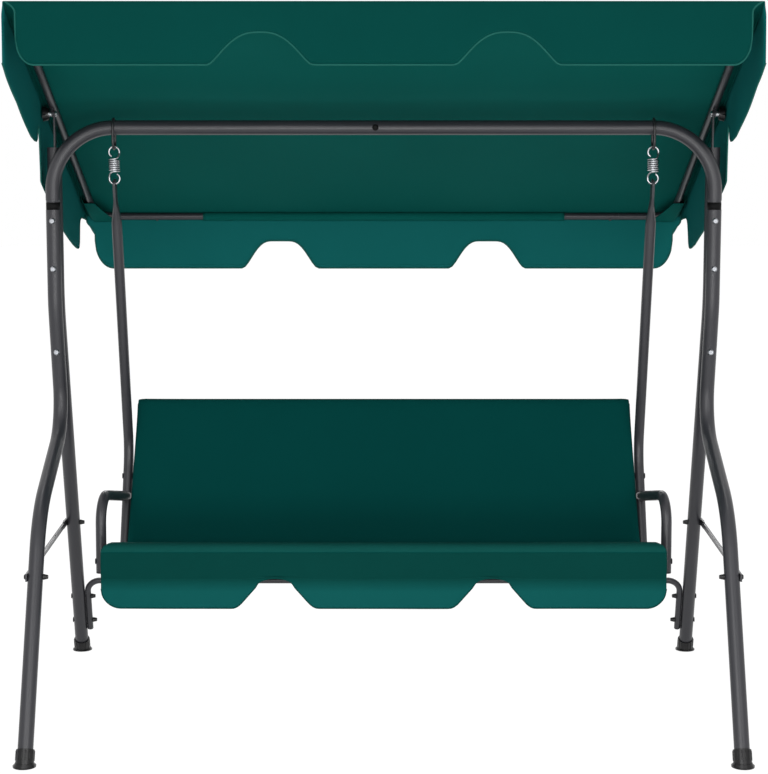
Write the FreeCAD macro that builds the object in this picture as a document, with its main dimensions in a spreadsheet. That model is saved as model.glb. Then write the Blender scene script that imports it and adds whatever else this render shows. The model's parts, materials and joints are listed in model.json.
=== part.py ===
import FreeCAD, Part
import math
import os
from FreeCAD import Placement, Rotation, Vector

# Garden swing seat: a tube stand with an arched top beam, a tilting fabric canopy and a padded
# bench that hangs from the beam on two springs. Millimetres, +Z up, the front faces -Y.
# Side profiles are written with depth measured from the beam's axis, then moved by BEAM_Y.

doc = FreeCAD.newDocument("garden_swing")
sheet = doc.addObject("Spreadsheet::Sheet", "dims")

DRIVING = {
    # stand
    "leg_tube": 35.0,
    "tube_wall": 1.2,
    "beam_height": 1413.0,
    "leg_offset": 150.0,
    "beam_bend": 150.0,
    "leg_top_drop": 197.0,
    "swage_length": 55.0,
    "swage_play": 0.3,
    "leg_pair_gap": 0.5,
    "upper_bend_drop": 427.0,
    "upper_bend_radius": 260.0,
    "front_lean_back": 68.0,
    "front_knee_drop": 726.0,
    "front_knee_radius": 120.0,
    "front_ankle_depth": 281.0,
    "front_ankle_drop": 888.0,
    "front_ankle_radius": 250.0,
    "front_foot_depth": 536.0,
    "rear_top_drop": 52.0,
    "rear_foot_depth": 466.0,
    "rear_foot_splay": 24.0,
    "cap_flange": 52.0,
    "cap_wall": 3.0,
    "cap_height": 37.0,
    "cap_floor": 8.0,
    "cap_rim": 3.0,
    "cap_flare": 7.0,
    "brace_height": 388.0,
    "brace_tube": 12.0,
    "brace_flat": 4.0,
    "brace_tab": 44.0,
    "cross_tube": 16.0,
    "cross_height": 214.0,
    "cross_end_height": 68.0,
    "cross_bend": 36.0,
    "cross_bolt_upper": 167.0,
    "cross_bolt_lower": 94.0,
    # fasteners
    "bolt_shank": 8.0,
    "bolt_play": 0.4,
    "bolt_head": 15.0,
    "bolt_head_height": 4.0,
    "nut_width": 14.0,
    "nut_height": 7.0,
    "leg_bolt_upper_drop": 224.0,
    "leg_bolt_middle_drop": 340.0,
    "leg_bolt_lower_drop": 545.0,
    "seat_gap": 0.3,
    # canopy
    "canopy_tube": 19.0,
    "canopy_inset": -2.0,
    "canopy_tilt": 23.75,
    "canopy_front_reach": 497.0,
    "canopy_rear_reach": 725.0,
    "canopy_corner": 60.0,
    "canopy_stub": 150.0,
    "pivot_rise": 33.0,
    "lug_drop": 19.0,
    "lug_plate": 4.0,
    "bracket_plate": 4.0,
    "bracket_width": 18.0,
    "knob_width": 36.0,
    "knob_height": 13.0,
    "roof_side_margin": 17.5,
    "roof_end_margin": 2.0,
    "cloth": 1.6,
    "front_valance_drop": 131.5,
    "rear_valance_drop": 150.0,
    "side_valance_front_drop": 145.0,
    "side_valance_rear_drop": 205.0,
    "scallop_middle": 271.0,
    "scallop_height": 71.0,
    "rear_scallop_middle": 289.0,
    # suspension
    "hook_half_span": 650.0,
    "ring_wire": 6.0,
    "ring_drop": 51.0,
    "spring_wire": 4.0,
    "spring_radius": 12.0,
    "spring_coils": 6.0,
    "spring_pitch": 5.0,
    "spring_loop": 12.5,
    "spring_neck": 17.0,
    # seat
    "seat_tube": 25.0,
    "rail_tube": 22.0,
    "back_tube": 19.0,
    "hanger_flat": 6.0,
    "hanger_flat_width": 34.0,
    "hanger_crush": 70.0,
    "upright_foot_depth": 54.6,
    "upright_bend_drop": 817.0,
    "upright_bend_radius": 120.0,
    "upright_slope": 0.4756,
    "upright_end_drop": 1087.0,
    "rail_front_depth": 255.0,
    "rail_front_drop": 1012.0,
    "rail_slope": 0.171,
    "rear_tube_gap": 38.0,
    "rail_corner": 55.0,
    "back_bolt_below_bend": 60.0,
    "back_top_drop": 709.0,
    "back_corner": 40.0,
    "arm_offset": 22.0,
    "arm_below_bend": 108.0,
    "arm_rise": 60.0,
    "arm_front_depth": 179.0,
    "arm_corner": 60.0,
    "arm_end_drop": 1049.0,
    "seat_pad": 37.0,
    "seat_pad_rear": 22.0,
    "pad_arm_gap": 3.5,
    "sling_inset": 14.0,
    "seat_crown": 3.0,
    "back_pad": 22.0,
    "back_pad_gap": 6.5,
    "back_pad_foot_drop": 1034.0,
    "seat_valance_bottom_drop": 1112.0,
    "seat_valance_top_drop": 972.0,
    "seat_valance_margin": 4.0,
    "seat_cut_height": 54.0,
    "seat_cut_middle": 252.0,
}

for row, (alias, value) in enumerate(DRIVING.items(), start=1):
    cell = f"A{row}"
    sheet.set(cell, str(value))
    sheet.setAlias(cell, alias)
doc.recompute()


def size(alias):
    """Return a driving dimension from the sheet."""
    return float(sheet.get(alias))


def below(alias):
    """Height of something that is a driving drop below the beam's axis."""
    return size("beam_height") - size(alias)


SIDES = {"left": -1, "right": 1}
X_AXIS = Vector(1, 0, 0)
Y_AXIS = Vector(0, 1, 0)
Z_AXIS = Vector(0, 0, 1)

LEG_R = size("leg_tube") / 2
WALL = size("tube_wall")
GAP = size("seat_gap")
CLOTH = size("cloth")
HOLE_R = (size("bolt_shank") + size("bolt_play")) / 2
SPACER_R = size("bolt_shank")
THREAD_R = size("bolt_shank") / 2 + 0.1
TILT = math.radians(size("canopy_tilt"))

# The object's box is centred on the origin: the front feet reach furthest forward,
# the rear valance of the canopy furthest back.
REAR_LEG_Y = size("leg_tube") + size("leg_pair_gap")
ROOF_OVERHANG = size("canopy_tube") / 2 + size("roof_end_margin")
LUG_DROP = size("lug_drop")
ROOF_BASE = size("canopy_tube") / 2 + GAP
FRONT_REACH = -size("front_foot_depth") - size("cap_flange") / 2
ROOF_REAR_U = size("canopy_rear_reach") + ROOF_OVERHANG
REAR_REACH = (
    REAR_LEG_Y
    + ROOF_REAR_U * math.cos(TILT)
    + (LUG_DROP + ROOF_BASE + CLOTH) * math.sin(TILT)
    + GAP
    + CLOTH
)
BEAM_Y = -(FRONT_REACH + REAR_REACH) / 2


def at(x, depth, height):
    """Point given by side offset, depth behind the beam's axis and height."""
    return Vector(x, depth + BEAM_Y, height)


parts = {}


def keep(label, shape):
    """Put a worked-out shape in the document under its sub-part's name."""
    feature = doc.addObject("Part::Feature", label)
    feature.Label = label
    feature.Shape = shape
    parts[label] = feature
    return feature


def register(label, feature):
    """Name a document object as a finished sub-part."""
    feature.Label = label
    parts[label] = feature
    return feature


def facing(direction):
    """Rotation that turns +Z to a direction."""
    return Rotation(Z_AXIS, direction)


def cylinder(name, radius_rule, height_rule, base, direction=Z_AXIS):
    """Cylinder whose radius and height are bound to the sheet."""
    feature = doc.addObject("Part::Cylinder", name)
    feature.setExpression("Radius", radius_rule)
    feature.setExpression("Height", height_rule)
    feature.Placement = Placement(base, facing(direction))
    return feature


def difference(name, base, tool):
    """Part::Cut of two document objects."""
    feature = doc.addObject("Part::Cut", name)
    feature.Base = base
    feature.Tool = tool
    return feature


def union(name, pieces):
    """Part::MultiFuse of document objects."""
    feature = doc.addObject("Part::MultiFuse", name)
    feature.Shapes = pieces
    return feature


def rounded_path(points, radii):
    """Wire of straight runs joined by tangent arcs at the inner points."""
    edges = []
    start = points[0]
    for before, corner, after, radius in zip(points, points[1:], points[2:], radii):
        towards = (before - corner).normalize()
        away = (after - corner).normalize()
        half_angle = towards.getAngle(away) / 2
        setback = radius / math.tan(half_angle)
        entry = corner + towards * setback
        leave = corner + away * setback
        bisector = (towards + away).normalize()
        middle = corner + bisector * (radius / math.sin(half_angle) - radius)
        edges.append(Part.LineSegment(start, entry).toShape())
        edges.append(Part.Arc(entry, middle, leave).toShape())
        start = leave
    edges.append(Part.LineSegment(start, points[-1]).toShape())
    return Part.Wire(edges)


def swept(path, radius):
    """Round bar of one radius along a path."""
    first = path.Edges[0]
    direction = first.tangentAt(first.FirstParameter)
    start = first.valueAt(first.FirstParameter)
    ring = Part.Wire([Part.makeCircle(radius, start, direction)])
    return path.makePipeShell([ring], True, False)


def bent_tube(points, radii, outer_radius, wall=WALL):
    """Hollow tube along straight runs and tangent bends."""
    path = rounded_path(points, radii)
    return swept(path, outer_radius).cut(swept(path, outer_radius - wall))


def rod(start, end, radius):
    """Solid round bar between two points."""
    run = end - start
    return Part.makeCylinder(radius, run.Length, start, run)


def drilled(shape, centre, axis, radius=HOLE_R, reach=200.0):
    """Shape with a round hole through it along an axis."""
    start = centre - axis * (reach / 2)
    return shape.cut(Part.makeCylinder(radius, reach, start, axis))


DOME = 0.65
CAP_STRETCH = 2.0
CAP_ROOF = 4.0


def bolt(head_seat, direction, grip, cap=False):
    """Domed bolt whose head sits at head_seat and whose shank runs along direction."""
    head_radius = size("bolt_head") / 2
    head_height = size("bolt_head_height") * (CAP_STRETCH if cap else 1.0)
    head = Part.makeCone(head_radius, head_radius * DOME, head_height, head_seat, direction * -1)
    shank_length = grip + size("nut_height")
    return head.fuse(Part.makeCylinder(size("bolt_shank") / 2, shank_length, head_seat, direction))


def nut(seat, direction):
    """Hexagon nut that stands on seat and grows along direction."""
    corner = size("nut_width") / 2 / math.cos(math.pi / 6)
    frame = Placement(seat, facing(direction))
    ring = []
    for step in range(7):
        angle = step * math.pi / 3
        ring.append(frame.multVec(Vector(corner * math.cos(angle), corner * math.sin(angle), 0)))
    body = Part.Face(Part.makePolygon(ring)).extrude(direction * size("nut_height"))
    return body.cut(Part.makeCylinder(THREAD_R, size("nut_height"), seat, direction))


def cap_nut(seat, direction):
    """Closed plastic cap nut over a bolt's end."""
    outer = size("nut_width") / 2
    height = size("nut_height") + CAP_ROOF
    body = Part.makeCone(outer, outer * DOME, height, seat, direction)
    return body.cut(Part.makeCylinder(THREAD_R, size("nut_height") + GAP, seat, direction))


def on_line(first, second, height):
    """Point at a height on the straight line through two points."""
    share = (height - first.z) / (second.z - first.z)
    return first + (second - first) * share


# Top beam: two bent halves, joined at the middle by a swaged spigot and one bolt.
beam_axis = size("beam_height")
half_span = size("hook_half_span") + size("leg_offset")
swage_r = LEG_R - WALL - size("swage_play")
JOINT_BOLT_X = -20.0
SWAGE_ROOT = 30.0
COLLAR = 8.0
NECK = 16.0
beam_bolt_at = at(JOINT_BOLT_X, 0, beam_axis)
beam_spigot = size("swage_length")


def beam_half(side):
    points = [
        at(0, 0, beam_axis),
        at(side * half_span, 0, beam_axis),
        at(side * half_span, 0, below("leg_top_drop") + GAP),
    ]
    shape = bent_tube(points, [size("beam_bend")], LEG_R)
    neck_foot = at(side * half_span, 0, below("leg_top_drop"))
    swage_top = neck_foot + Z_AXIS * (NECK + SWAGE_ROOT)
    swage_end = at(side * half_span, 0, below("leg_top_drop") - size("swage_length"))
    swage = rod(swage_top, swage_end, swage_r).cut(rod(swage_top, swage_end, swage_r - WALL))
    collar_top = neck_foot + Z_AXIS * (NECK + COLLAR)
    collar = Part.makeCone(LEG_R, swage_r, COLLAR, collar_top, Z_AXIS * -1)
    collar = collar.cut(rod(swage_top, swage_end, swage_r - WALL))
    trimmed = shape.cut(rod(neck_foot, collar_top, LEG_R + WALL))
    plug = rod(collar_top, swage_top, LEG_R - WALL)
    plug = plug.cut(rod(swage_top, swage_end, swage_r - WALL))
    shape = trimmed.fuse([collar, plug, swage])
    return drilled(shape, at(0, 0, below("leg_bolt_upper_drop")) + X_AXIS * (side * half_span), Y_AXIS)


beam_left = beam_half(-1)
beam_right = beam_half(1)
spigot_start = at(SWAGE_ROOT, 0, beam_axis)
spigot_end = at(-beam_spigot, 0, beam_axis)
spigot = rod(spigot_start, spigot_end, swage_r).cut(rod(spigot_start, spigot_end, swage_r - WALL))
spigot_ring = rod(at(GAP, 0, beam_axis), spigot_start, LEG_R - WALL)
spigot_ring = spigot_ring.cut(rod(spigot_end, spigot_start, swage_r - WALL))
beam_right = beam_right.cut(rod(at(-GAP, 0, beam_axis), at(GAP, 0, beam_axis), LEG_R + WALL))
beam_right = drilled(beam_right.fuse([spigot_ring, spigot]), beam_bolt_at, Y_AXIS)
keep("top_beam_left", drilled(beam_left, beam_bolt_at, Y_AXIS))
keep("top_beam_right", beam_right.removeSplitter())
beam_grip = size("leg_tube") + 2 * GAP
keep("beam_joint_bolt", bolt(beam_bolt_at - Y_AXIS * (LEG_R + GAP), Y_AXIS, beam_grip))
keep("beam_joint_nut", nut(beam_bolt_at + Y_AXIS * (LEG_R + GAP), Y_AXIS))


# Legs: each side is a bent front leg bolted to a rear leg that runs straight to its foot.
def front_leg_points(side):
    x = side * half_span
    return [
        at(x, 0, below("leg_top_drop")),
        at(x, 0, below("upper_bend_drop")),
        at(x, size("front_lean_back"), below("front_knee_drop")),
        at(x, -size("front_ankle_depth"), below("front_ankle_drop")),
        at(x, -size("front_foot_depth"), 0),
    ]


def rear_leg_points(side):
    x = side * half_span
    return [
        at(x, REAR_LEG_Y, below("rear_top_drop")),
        at(x, REAR_LEG_Y, below("upper_bend_drop")),
        at(x + side * size("rear_foot_splay"), size("rear_foot_depth"), 0),
    ]


def above_floor(shape, height):
    """Part of a shape above a height."""
    reach = 2 * beam_axis
    slab = Part.makeBox(2 * reach, 2 * reach, reach, Vector(-reach, -reach, height))
    return shape.common(slab)


HEAD_STANDOFF = 2.5
NUT_STANDOFF = 4.0
CAP_TOE = 20.0
CAP_CUT = 400.0
brace_ends = {}
cross_holes = {}
leg_bolts = []
leg_nuts = []
leg_spacers = []
for name, side in SIDES.items():
    front = front_leg_points(side)
    rear = rear_leg_points(side)
    bend = size("upper_bend_radius")
    front_radii = [bend, size("front_knee_radius"), size("front_ankle_radius")]
    front_shape = above_floor(bent_tube(front, front_radii, LEG_R), size("cap_floor") + GAP)
    rear_shape = above_floor(bent_tube(rear, [bend], LEG_R), size("cap_floor") + GAP)

    x = side * half_span
    for height in (below("leg_bolt_upper_drop"), below("leg_bolt_middle_drop")):
        centre = at(x, 0, height)
        front_shape = drilled(front_shape, centre, Y_AXIS)
        rear_shape = drilled(rear_shape, centre, Y_AXIS)
        leg_bolts.append(bolt(at(x, -LEG_R - GAP, height), Y_AXIS, REAR_LEG_Y + 2 * (LEG_R + GAP)))
        leg_nuts.append(nut(at(x, REAR_LEG_Y + LEG_R + GAP, height), Y_AXIS))

    low = below("leg_bolt_lower_drop")
    front_centre = on_line(front[1], front[2], low)
    rear_centre = on_line(rear[1], rear[2], low)
    front_shape = drilled(front_shape, front_centre, Y_AXIS)
    rear_shape = drilled(rear_shape, front_centre, Y_AXIS)
    front_face = LEG_R / math.cos((front[2] - front[1]).getAngle(Z_AXIS * -1))
    rear_face = LEG_R / math.cos((rear[2] - rear[1]).getAngle(Z_AXIS * -1))
    head_seat = Vector(front_centre.x, front_centre.y - front_face - HEAD_STANDOFF, low)
    nut_seat = Vector(front_centre.x, rear_centre.y + rear_face + NUT_STANDOFF, low)
    leg_bolts.append(bolt(head_seat, Y_AXIS, nut_seat.y - head_seat.y))
    leg_nuts.append(nut(nut_seat, Y_AXIS))
    spacer_start = Vector(front_centre.x, front_centre.y, low)
    spacer_end = Vector(front_centre.x, rear_centre.y, low)
    spacer = rod(spacer_start, spacer_end, SPACER_R).cut(rod(spacer_start, spacer_end, HOLE_R))
    spacer = spacer.cut(swept(rounded_path(front, front_radii), LEG_R + GAP))
    leg_spacers.append(spacer.cut(swept(rounded_path(rear, [bend]), LEG_R + GAP)))

    front_brace = on_line(front[3], front[4], size("brace_height"))
    rear_brace = on_line(rear[1], rear[2], size("brace_height"))
    brace_ends[side] = (front_brace, rear_brace)
    front_shape = drilled(front_shape, front_brace, X_AXIS)
    rear_shape = drilled(rear_shape, rear_brace, X_AXIS)
    cross_holes[side] = []
    for height in (size("cross_bolt_upper"), size("cross_bolt_lower")):
        centre = on_line(rear[1], rear[2], height)
        cross_holes[side].append(centre)
        rear_shape = drilled(rear_shape, centre, X_AXIS)
    keep(f"front_leg_{name}", front_shape)
    keep(f"rear_leg_{name}", rear_shape)

    # Foot caps: a moulded boot with a flat flange, its sleeve in line with the leg.
    for foot, (knee, toe) in {"front": (front[3], front[4]), "rear": (rear[1], rear[2])}.items():
        label = f"foot_cap_{foot}_{name}"
        along = (knee - toe).normalize()
        rim = cylinder(f"{label}_rim", "dims.cap_flange / 2", "dims.cap_rim", toe)
        flare = doc.addObject("Part::Cone", f"{label}_flare")
        flare.setExpression("Radius1", "dims.cap_flange / 2 - dims.cap_rim / 2")
        flare.setExpression("Radius2", "dims.leg_tube / 2 + dims.cap_wall")
        flare.setExpression("Height", "dims.cap_flare")
        flare.Placement.Base = toe + Z_AXIS * size("cap_rim")
        sleeve_rule = "dims.leg_tube / 2 + dims.seat_gap + dims.cap_wall"
        sleeve_start = toe - along * CAP_TOE
        sleeve_length = f"dims.cap_height + {CAP_TOE}"
        sleeve = cylinder(f"{label}_sleeve", sleeve_rule, sleeve_length, sleeve_start, along)
        bore_rule = "dims.leg_tube / 2 + dims.seat_gap"
        bore = cylinder(f"{label}_bore", bore_rule, f"dims.cap_height + {2 * CAP_TOE}", sleeve_start, along)
        under = doc.addObject("Part::Box", f"{label}_under")
        under.Length = CAP_CUT
        under.Width = CAP_CUT
        under.setExpression("Height", "dims.cap_height * 4")
        under.Placement.Base = toe - Vector(CAP_CUT / 2, CAP_CUT / 2, size("cap_height") * 4)
        floor = doc.addObject("Part::Box", f"{label}_floor")
        floor.Length = CAP_CUT
        floor.Width = CAP_CUT
        floor.setExpression("Height", "dims.cap_height * 4 + dims.cap_floor")
        floor.Placement.Base = toe - Vector(CAP_CUT / 2, CAP_CUT / 2, size("cap_height") * 4)
        well = difference(f"{label}_well", bore, floor)
        boot = union(f"{label}_boot", [rim, flare, sleeve])
        hollow = difference(f"{label}_hollow", boot, well)
        register(label, difference(label, hollow, under))

keep("leg_bolts", Part.makeCompound(leg_bolts))
keep("leg_nuts", Part.makeCompound(leg_nuts))
keep("leg_spacers", Part.makeCompound(leg_spacers))


# Side braces: thin tubes with flattened ends, bolted to the outer side of both legs.
TAB_WIDTH = 18.0
TAB_NOSE = 12.0
TAB_LAP = 2.0
brace_bolts = []
brace_caps = []
for name, side in SIDES.items():
    outward = X_AXIS * side
    seats = []
    for centre in brace_ends[side]:
        seats.append(centre + outward * (LEG_R + GAP))
        head_seat = centre + outward * (LEG_R + size("brace_flat") + 2 * GAP)
        grip = size("leg_tube") + size("brace_flat") + 4 * GAP
        brace_bolts.append(bolt(head_seat, outward * -1, grip))
        brace_caps.append(cap_nut(centre - outward * (LEG_R + 2 * GAP), outward * -1))
    middle_shift = outward * (size("brace_flat") / 2)
    start = seats[0] + middle_shift
    end = seats[1] + middle_shift
    along = (end - start).normalize()
    bar = rod(start + along * size("brace_tab"), end - along * size("brace_tab"), size("brace_tube") / 2)
    pieces = [bar]
    for point, outwards in ((start, along), (end, along * -1)):
        tab = Part.makeBox(
            size("brace_tab") + TAB_NOSE + TAB_LAP, size("brace_flat"), TAB_WIDTH,
            Vector(-TAB_NOSE, -size("brace_flat") / 2, -TAB_WIDTH / 2),
        )
        turn = Rotation(X_AXIS, outwards)
        tab.Placement = Placement(point, turn)
        pieces.append(tab)
    brace = pieces[0].fuse(pieces[1:])
    for centre in brace_ends[side]:
        brace = drilled(brace, centre, X_AXIS)
    keep(f"side_brace_{name}", brace)
keep("brace_bolts", Part.makeCompound(brace_bolts))
keep("brace_cap_nuts", Part.makeCompound(brace_caps))


# Rear cross tube: an inverted U whose ends lie along the inner side of the rear legs.
cross_r = size("cross_tube") / 2
cross_offset = LEG_R + cross_r + GAP
cross_points = []
for side, heights in ((-1, ("cross_end_height", "cross_height")), (1, ("cross_height", "cross_end_height"))):
    rear = rear_leg_points(side)
    for height in heights:
        cross_points.append(on_line(rear[1], rear[2], size(height)) - X_AXIS * (side * cross_offset))
cross_shape = bent_tube(cross_points, [size("cross_bend")] * 2, cross_r)
cross_bolts = []
cross_caps = []
for side, centres in cross_holes.items():
    inward = X_AXIS * -side
    for centre in centres:
        cross_shape = drilled(cross_shape, centre, X_AXIS)
        cross_bolts.append(bolt(centre - inward * (LEG_R + 2 * GAP), inward,
                                size("leg_tube") + size("cross_tube") + 4 * GAP, cap=True))
        cross_caps.append(cap_nut(centre + inward * (cross_offset + cross_r + GAP), inward))
keep("rear_cross_tube", cross_shape)
keep("cross_tube_bolts", Part.makeCompound(cross_bolts))
keep("cross_tube_cap_nuts", Part.makeCompound(cross_caps))


# Canopy: brackets on the rear legs, a tube frame in one tilted plane, and its fabric.
canopy_r = size("canopy_tube") / 2
canopy_x = half_span - size("canopy_inset")
pivot_z = beam_axis + size("pivot_rise")
SLOPE_DOWN = Vector(0, math.cos(TILT), -math.sin(TILT))
SLOPE_UP = Vector(0, math.sin(TILT), math.cos(TILT))
pivot_mid = at(0, REAR_LEG_Y, pivot_z)


def on_canopy(x, u, lift=0.0):
    """Point of the canopy: side offset, distance down the slope, lift above the tubes' axes."""
    return pivot_mid + X_AXIS * x + SLOPE_DOWN * u + SLOPE_UP * (LUG_DROP + lift)


tilt_bolts = []
lug_half = size("lug_plate") / 2
plate_inner = canopy_x - lug_half - GAP - size("bracket_plate")
knob_x = canopy_x + canopy_r + GAP
KNOB_BUSH_R = 7.0
LOBES = 6
FLUTE_R = 5.5
KNOB_DRAFT = 3.0
SPIGOT_ROOT = 25.0
SPIGOT_REACH = 45.0
SCREW_INSET = 22.0
SCREW_HOLE_R = 2.2
SCREW_R = 2.0
SCREW_HEAD_R = 4.5
SCREW_HEAD = 2.5
SCREW_DEPTH = 0.8
tilt_bushes = []
for name, side in SIDES.items():
    label = f"canopy_bracket_{name}"
    x = side * half_span
    top = at(x, REAR_LEG_Y, below("rear_top_drop"))
    post_rule = "dims.leg_tube / 2 - dims.tube_wall - dims.swage_play"
    post = cylinder(f"{label}_post", post_rule, "dims.swage_length", top - Z_AXIS * size("swage_length"))
    collar = cylinder(f"{label}_collar", "dims.leg_tube / 2", "dims.bracket_plate", top + Z_AXIS * GAP)
    neck = cylinder(f"{label}_neck", post_rule, "dims.bracket_plate", top)
    plate = doc.addObject("Part::Box", f"{label}_plate")
    plate.setExpression("Length", "dims.bracket_plate")
    plate.setExpression("Width", "dims.bracket_width")
    plate.setExpression("Height", "dims.pivot_rise + dims.rear_top_drop")
    plate_x = side * plate_inner if side > 0 else side * (plate_inner + size("bracket_plate"))
    plate.Placement.Base = Vector(plate_x, top.y - size("bracket_width") / 2, top.z + GAP)
    crown = cylinder(f"{label}_crown", "dims.bracket_width / 2", "dims.bracket_plate",
                     Vector(plate_x, top.y, pivot_z), X_AXIS)
    hole_start = Vector(plate_x - size("bracket_plate"), top.y, pivot_z)
    hole_rule = "(dims.bolt_shank + 2 * dims.bolt_play) / 2"
    hole = cylinder(f"{label}_hole", hole_rule, "dims.bracket_plate * 3", hole_start, X_AXIS)
    solid = union(f"{label}_solid", [post, collar, neck, plate, crown])
    register(label, difference(label, solid, hole))

    outward = X_AXIS * side
    head_seat = Vector(side * (plate_inner - GAP), top.y, pivot_z)
    grip = knob_x - plate_inner + GAP
    tilt_bolts.append(bolt(head_seat, outward, grip))

    u_front = -size("canopy_front_reach")
    u_rear = size("canopy_rear_reach")
    stub_x = side * (canopy_x - size("canopy_stub"))
    points = [
        on_canopy(stub_x, u_front),
        on_canopy(side * canopy_x, u_front),
        on_canopy(side * canopy_x, u_rear),
        on_canopy(stub_x, u_rear),
    ]
    frame_side = bent_tube(points, [size("canopy_corner")] * 2, canopy_r)
    spigots = []
    for u in (u_front, u_rear):
        start = on_canopy(stub_x + side * SPIGOT_ROOT, u)
        end = on_canopy(stub_x - side * SPIGOT_REACH, u)
        inner = canopy_r - WALL - size("swage_play")
        spigots.append(rod(start, on_canopy(stub_x, u), canopy_r - WALL))
        spigots.append(rod(start, end, inner))
    pivot = Vector(side * canopy_x, top.y, pivot_z)
    lug_frame = Placement(pivot - X_AXIS * lug_half, Rotation(X_AXIS, -size("canopy_tilt")))
    lug = Part.makeBox(size("lug_plate"), size("bracket_width"), LUG_DROP - canopy_r + WALL,
                       Vector(0, -size("bracket_width") / 2, 0))
    lug.Placement = lug_frame
    lug_end = rod(pivot - X_AXIS * lug_half, pivot + X_AXIS * lug_half, size("bracket_width") / 2)
    frame_side = frame_side.fuse(spigots + [lug, lug_end])
    frame_side = drilled(frame_side, pivot, X_AXIS, HOLE_R, size("canopy_tube") * 2)
    bush_start = pivot + outward * (lug_half + GAP)
    bush_end = pivot + outward * (canopy_r - GAP)
    tilt_bushes.append(rod(bush_start, bush_end, KNOB_BUSH_R).cut(rod(bush_start, bush_end, HOLE_R)))
    for u in (u_front, u_rear):
        frame_side = drilled(frame_side, on_canopy(stub_x - side * SCREW_INSET, u), SLOPE_UP, SCREW_HOLE_R)
    keep(f"canopy_side_tube_{name}", frame_side)

    knob_seat = Vector(side * knob_x, top.y, pivot_z)
    grip_body = Part.makeCone(
        size("knob_width") / 2 - KNOB_DRAFT, size("knob_width") / 2, size("knob_height"), knob_seat, outward
    )
    for lobe in range(LOBES):
        angle = 2 * math.pi * lobe / LOBES
        offset = Vector(0, math.cos(angle), math.sin(angle)) * (size("knob_width") / 2 + KNOB_DRAFT)
        flute = Part.makeCylinder(FLUTE_R, size("knob_height") + 2, knob_seat + offset - outward, outward)
        grip_body = grip_body.cut(flute)
    bore = Part.makeCylinder(
        size("bolt_shank") / 2 + GAP, size("nut_height") + GAP, knob_seat - outward * GAP, outward
    )
    keep(f"tilt_knob_{name}", grip_body.cut(bore))
keep("tilt_bolts", Part.makeCompound(tilt_bolts))
keep("tilt_bushes", Part.makeCompound(tilt_bushes))

canopy_screws = []
for name, u in {"front": -size("canopy_front_reach"), "rear": size("canopy_rear_reach")}.items():
    label = f"canopy_{name}_tube"
    reach = canopy_x - size("canopy_stub") - GAP
    start = on_canopy(-reach, u)
    length_rule = (
        "2 * (dims.hook_half_span + dims.leg_offset - dims.canopy_inset"
        " - dims.canopy_stub - dims.seat_gap)"
    )
    outer = cylinder(f"{label}_outer", "dims.canopy_tube / 2", length_rule, start, X_AXIS)
    inner = cylinder(f"{label}_inner", "dims.canopy_tube / 2 - dims.tube_wall", length_rule, start, X_AXIS)
    pipe = difference(f"{label}_pipe", outer, inner)
    for side_name, side in SIDES.items():
        centre = on_canopy(side * (canopy_x - size("canopy_stub") - SCREW_INSET), u)
        hole = cylinder(f"{label}_hole_{side_name}", str(SCREW_HOLE_R), "dims.canopy_tube * 2",
                        centre - SLOPE_UP * size("canopy_tube"), SLOPE_UP)
        pipe = difference(f"{label}_drilled_{side_name}", pipe, hole)
        seat = centre - SLOPE_UP * (canopy_r + GAP)
        head = Part.makeCone(SCREW_HEAD_R, SCREW_HEAD_R * DOME, SCREW_HEAD, seat, SLOPE_UP * -1)
        shank = Part.makeCylinder(SCREW_R, size("canopy_tube") * SCREW_DEPTH, seat, SLOPE_UP)
        canopy_screws.append(head.fuse(shank))
    register(label, pipe)
keep("canopy_screws", Part.makeCompound(canopy_screws))


# Canopy fabric: a flat stretched roof and four hanging valances with scalloped hems.
roof = doc.addObject("Part::Box", "canopy_roof")
roof.setExpression(
    "Length",
    "2 * (dims.hook_half_span + dims.leg_offset - dims.canopy_inset"
    " + dims.canopy_tube / 2 + dims.roof_side_margin)",
)
roof.setExpression(
    "Width",
    "dims.canopy_front_reach + dims.canopy_rear_reach + dims.canopy_tube + 2 * dims.roof_end_margin",
)
roof.setExpression("Height", "dims.cloth")
roof_x = canopy_x + canopy_r + size("roof_side_margin")
roof_front_u = -size("canopy_front_reach") - ROOF_OVERHANG
roof_corner = on_canopy(-roof_x, roof_front_u, ROOF_BASE)
roof.Placement = Placement(roof_corner, Rotation(X_AXIS, -size("canopy_tilt")))
register("canopy_roof", roof)


def flat_piece(points, thickness_vector, radii):
    """Sheet cut to an outline, with rounded corners where radii are given."""
    outline = Part.makePolygon(points + [points[0]])
    sheet_solid = Part.Face(outline).extrude(thickness_vector)
    across = Vector(thickness_vector).normalize()
    for point, radius in radii:
        for edge in sheet_solid.Edges:
            ends = [vertex.Point for vertex in edge.Vertexes]
            if len(ends) != 2:
                continue
            run = ends[1] - ends[0]
            if run.Length > thickness_vector.Length * 1.5 or abs(run.normalize().dot(across)) < 0.99:
                continue
            if min((end - point).Length for end in ends) < 0.01:
                sheet_solid = sheet_solid.makeFillet(radius, [edge])
                break
    return sheet_solid


def hem_points(y, top, bottom, half_top, half_bottom, corner_rise, middle, mouth, plateau, rise):
    """Outline of a cross valance with two scallops, and the corners to round."""
    left = [(-half_top, top), (-half_top, bottom + corner_rise), (-half_bottom, bottom)]
    scallop = [
        (-middle - mouth, bottom),
        (-middle - plateau, bottom + rise),
        (-middle + plateau, bottom + rise),
        (-middle + mouth, bottom),
    ]
    half = left + scallop
    whole = half + [(-px, pz) for px, pz in reversed(half)]
    points = [Vector(px, y, pz) for px, pz in whole]
    rounded = []
    for index, (px, pz) in enumerate(whole):
        if pz == bottom or pz == bottom + rise:
            rounded.append((points[index], HEM_ROUND))
    return points, rounded


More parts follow.
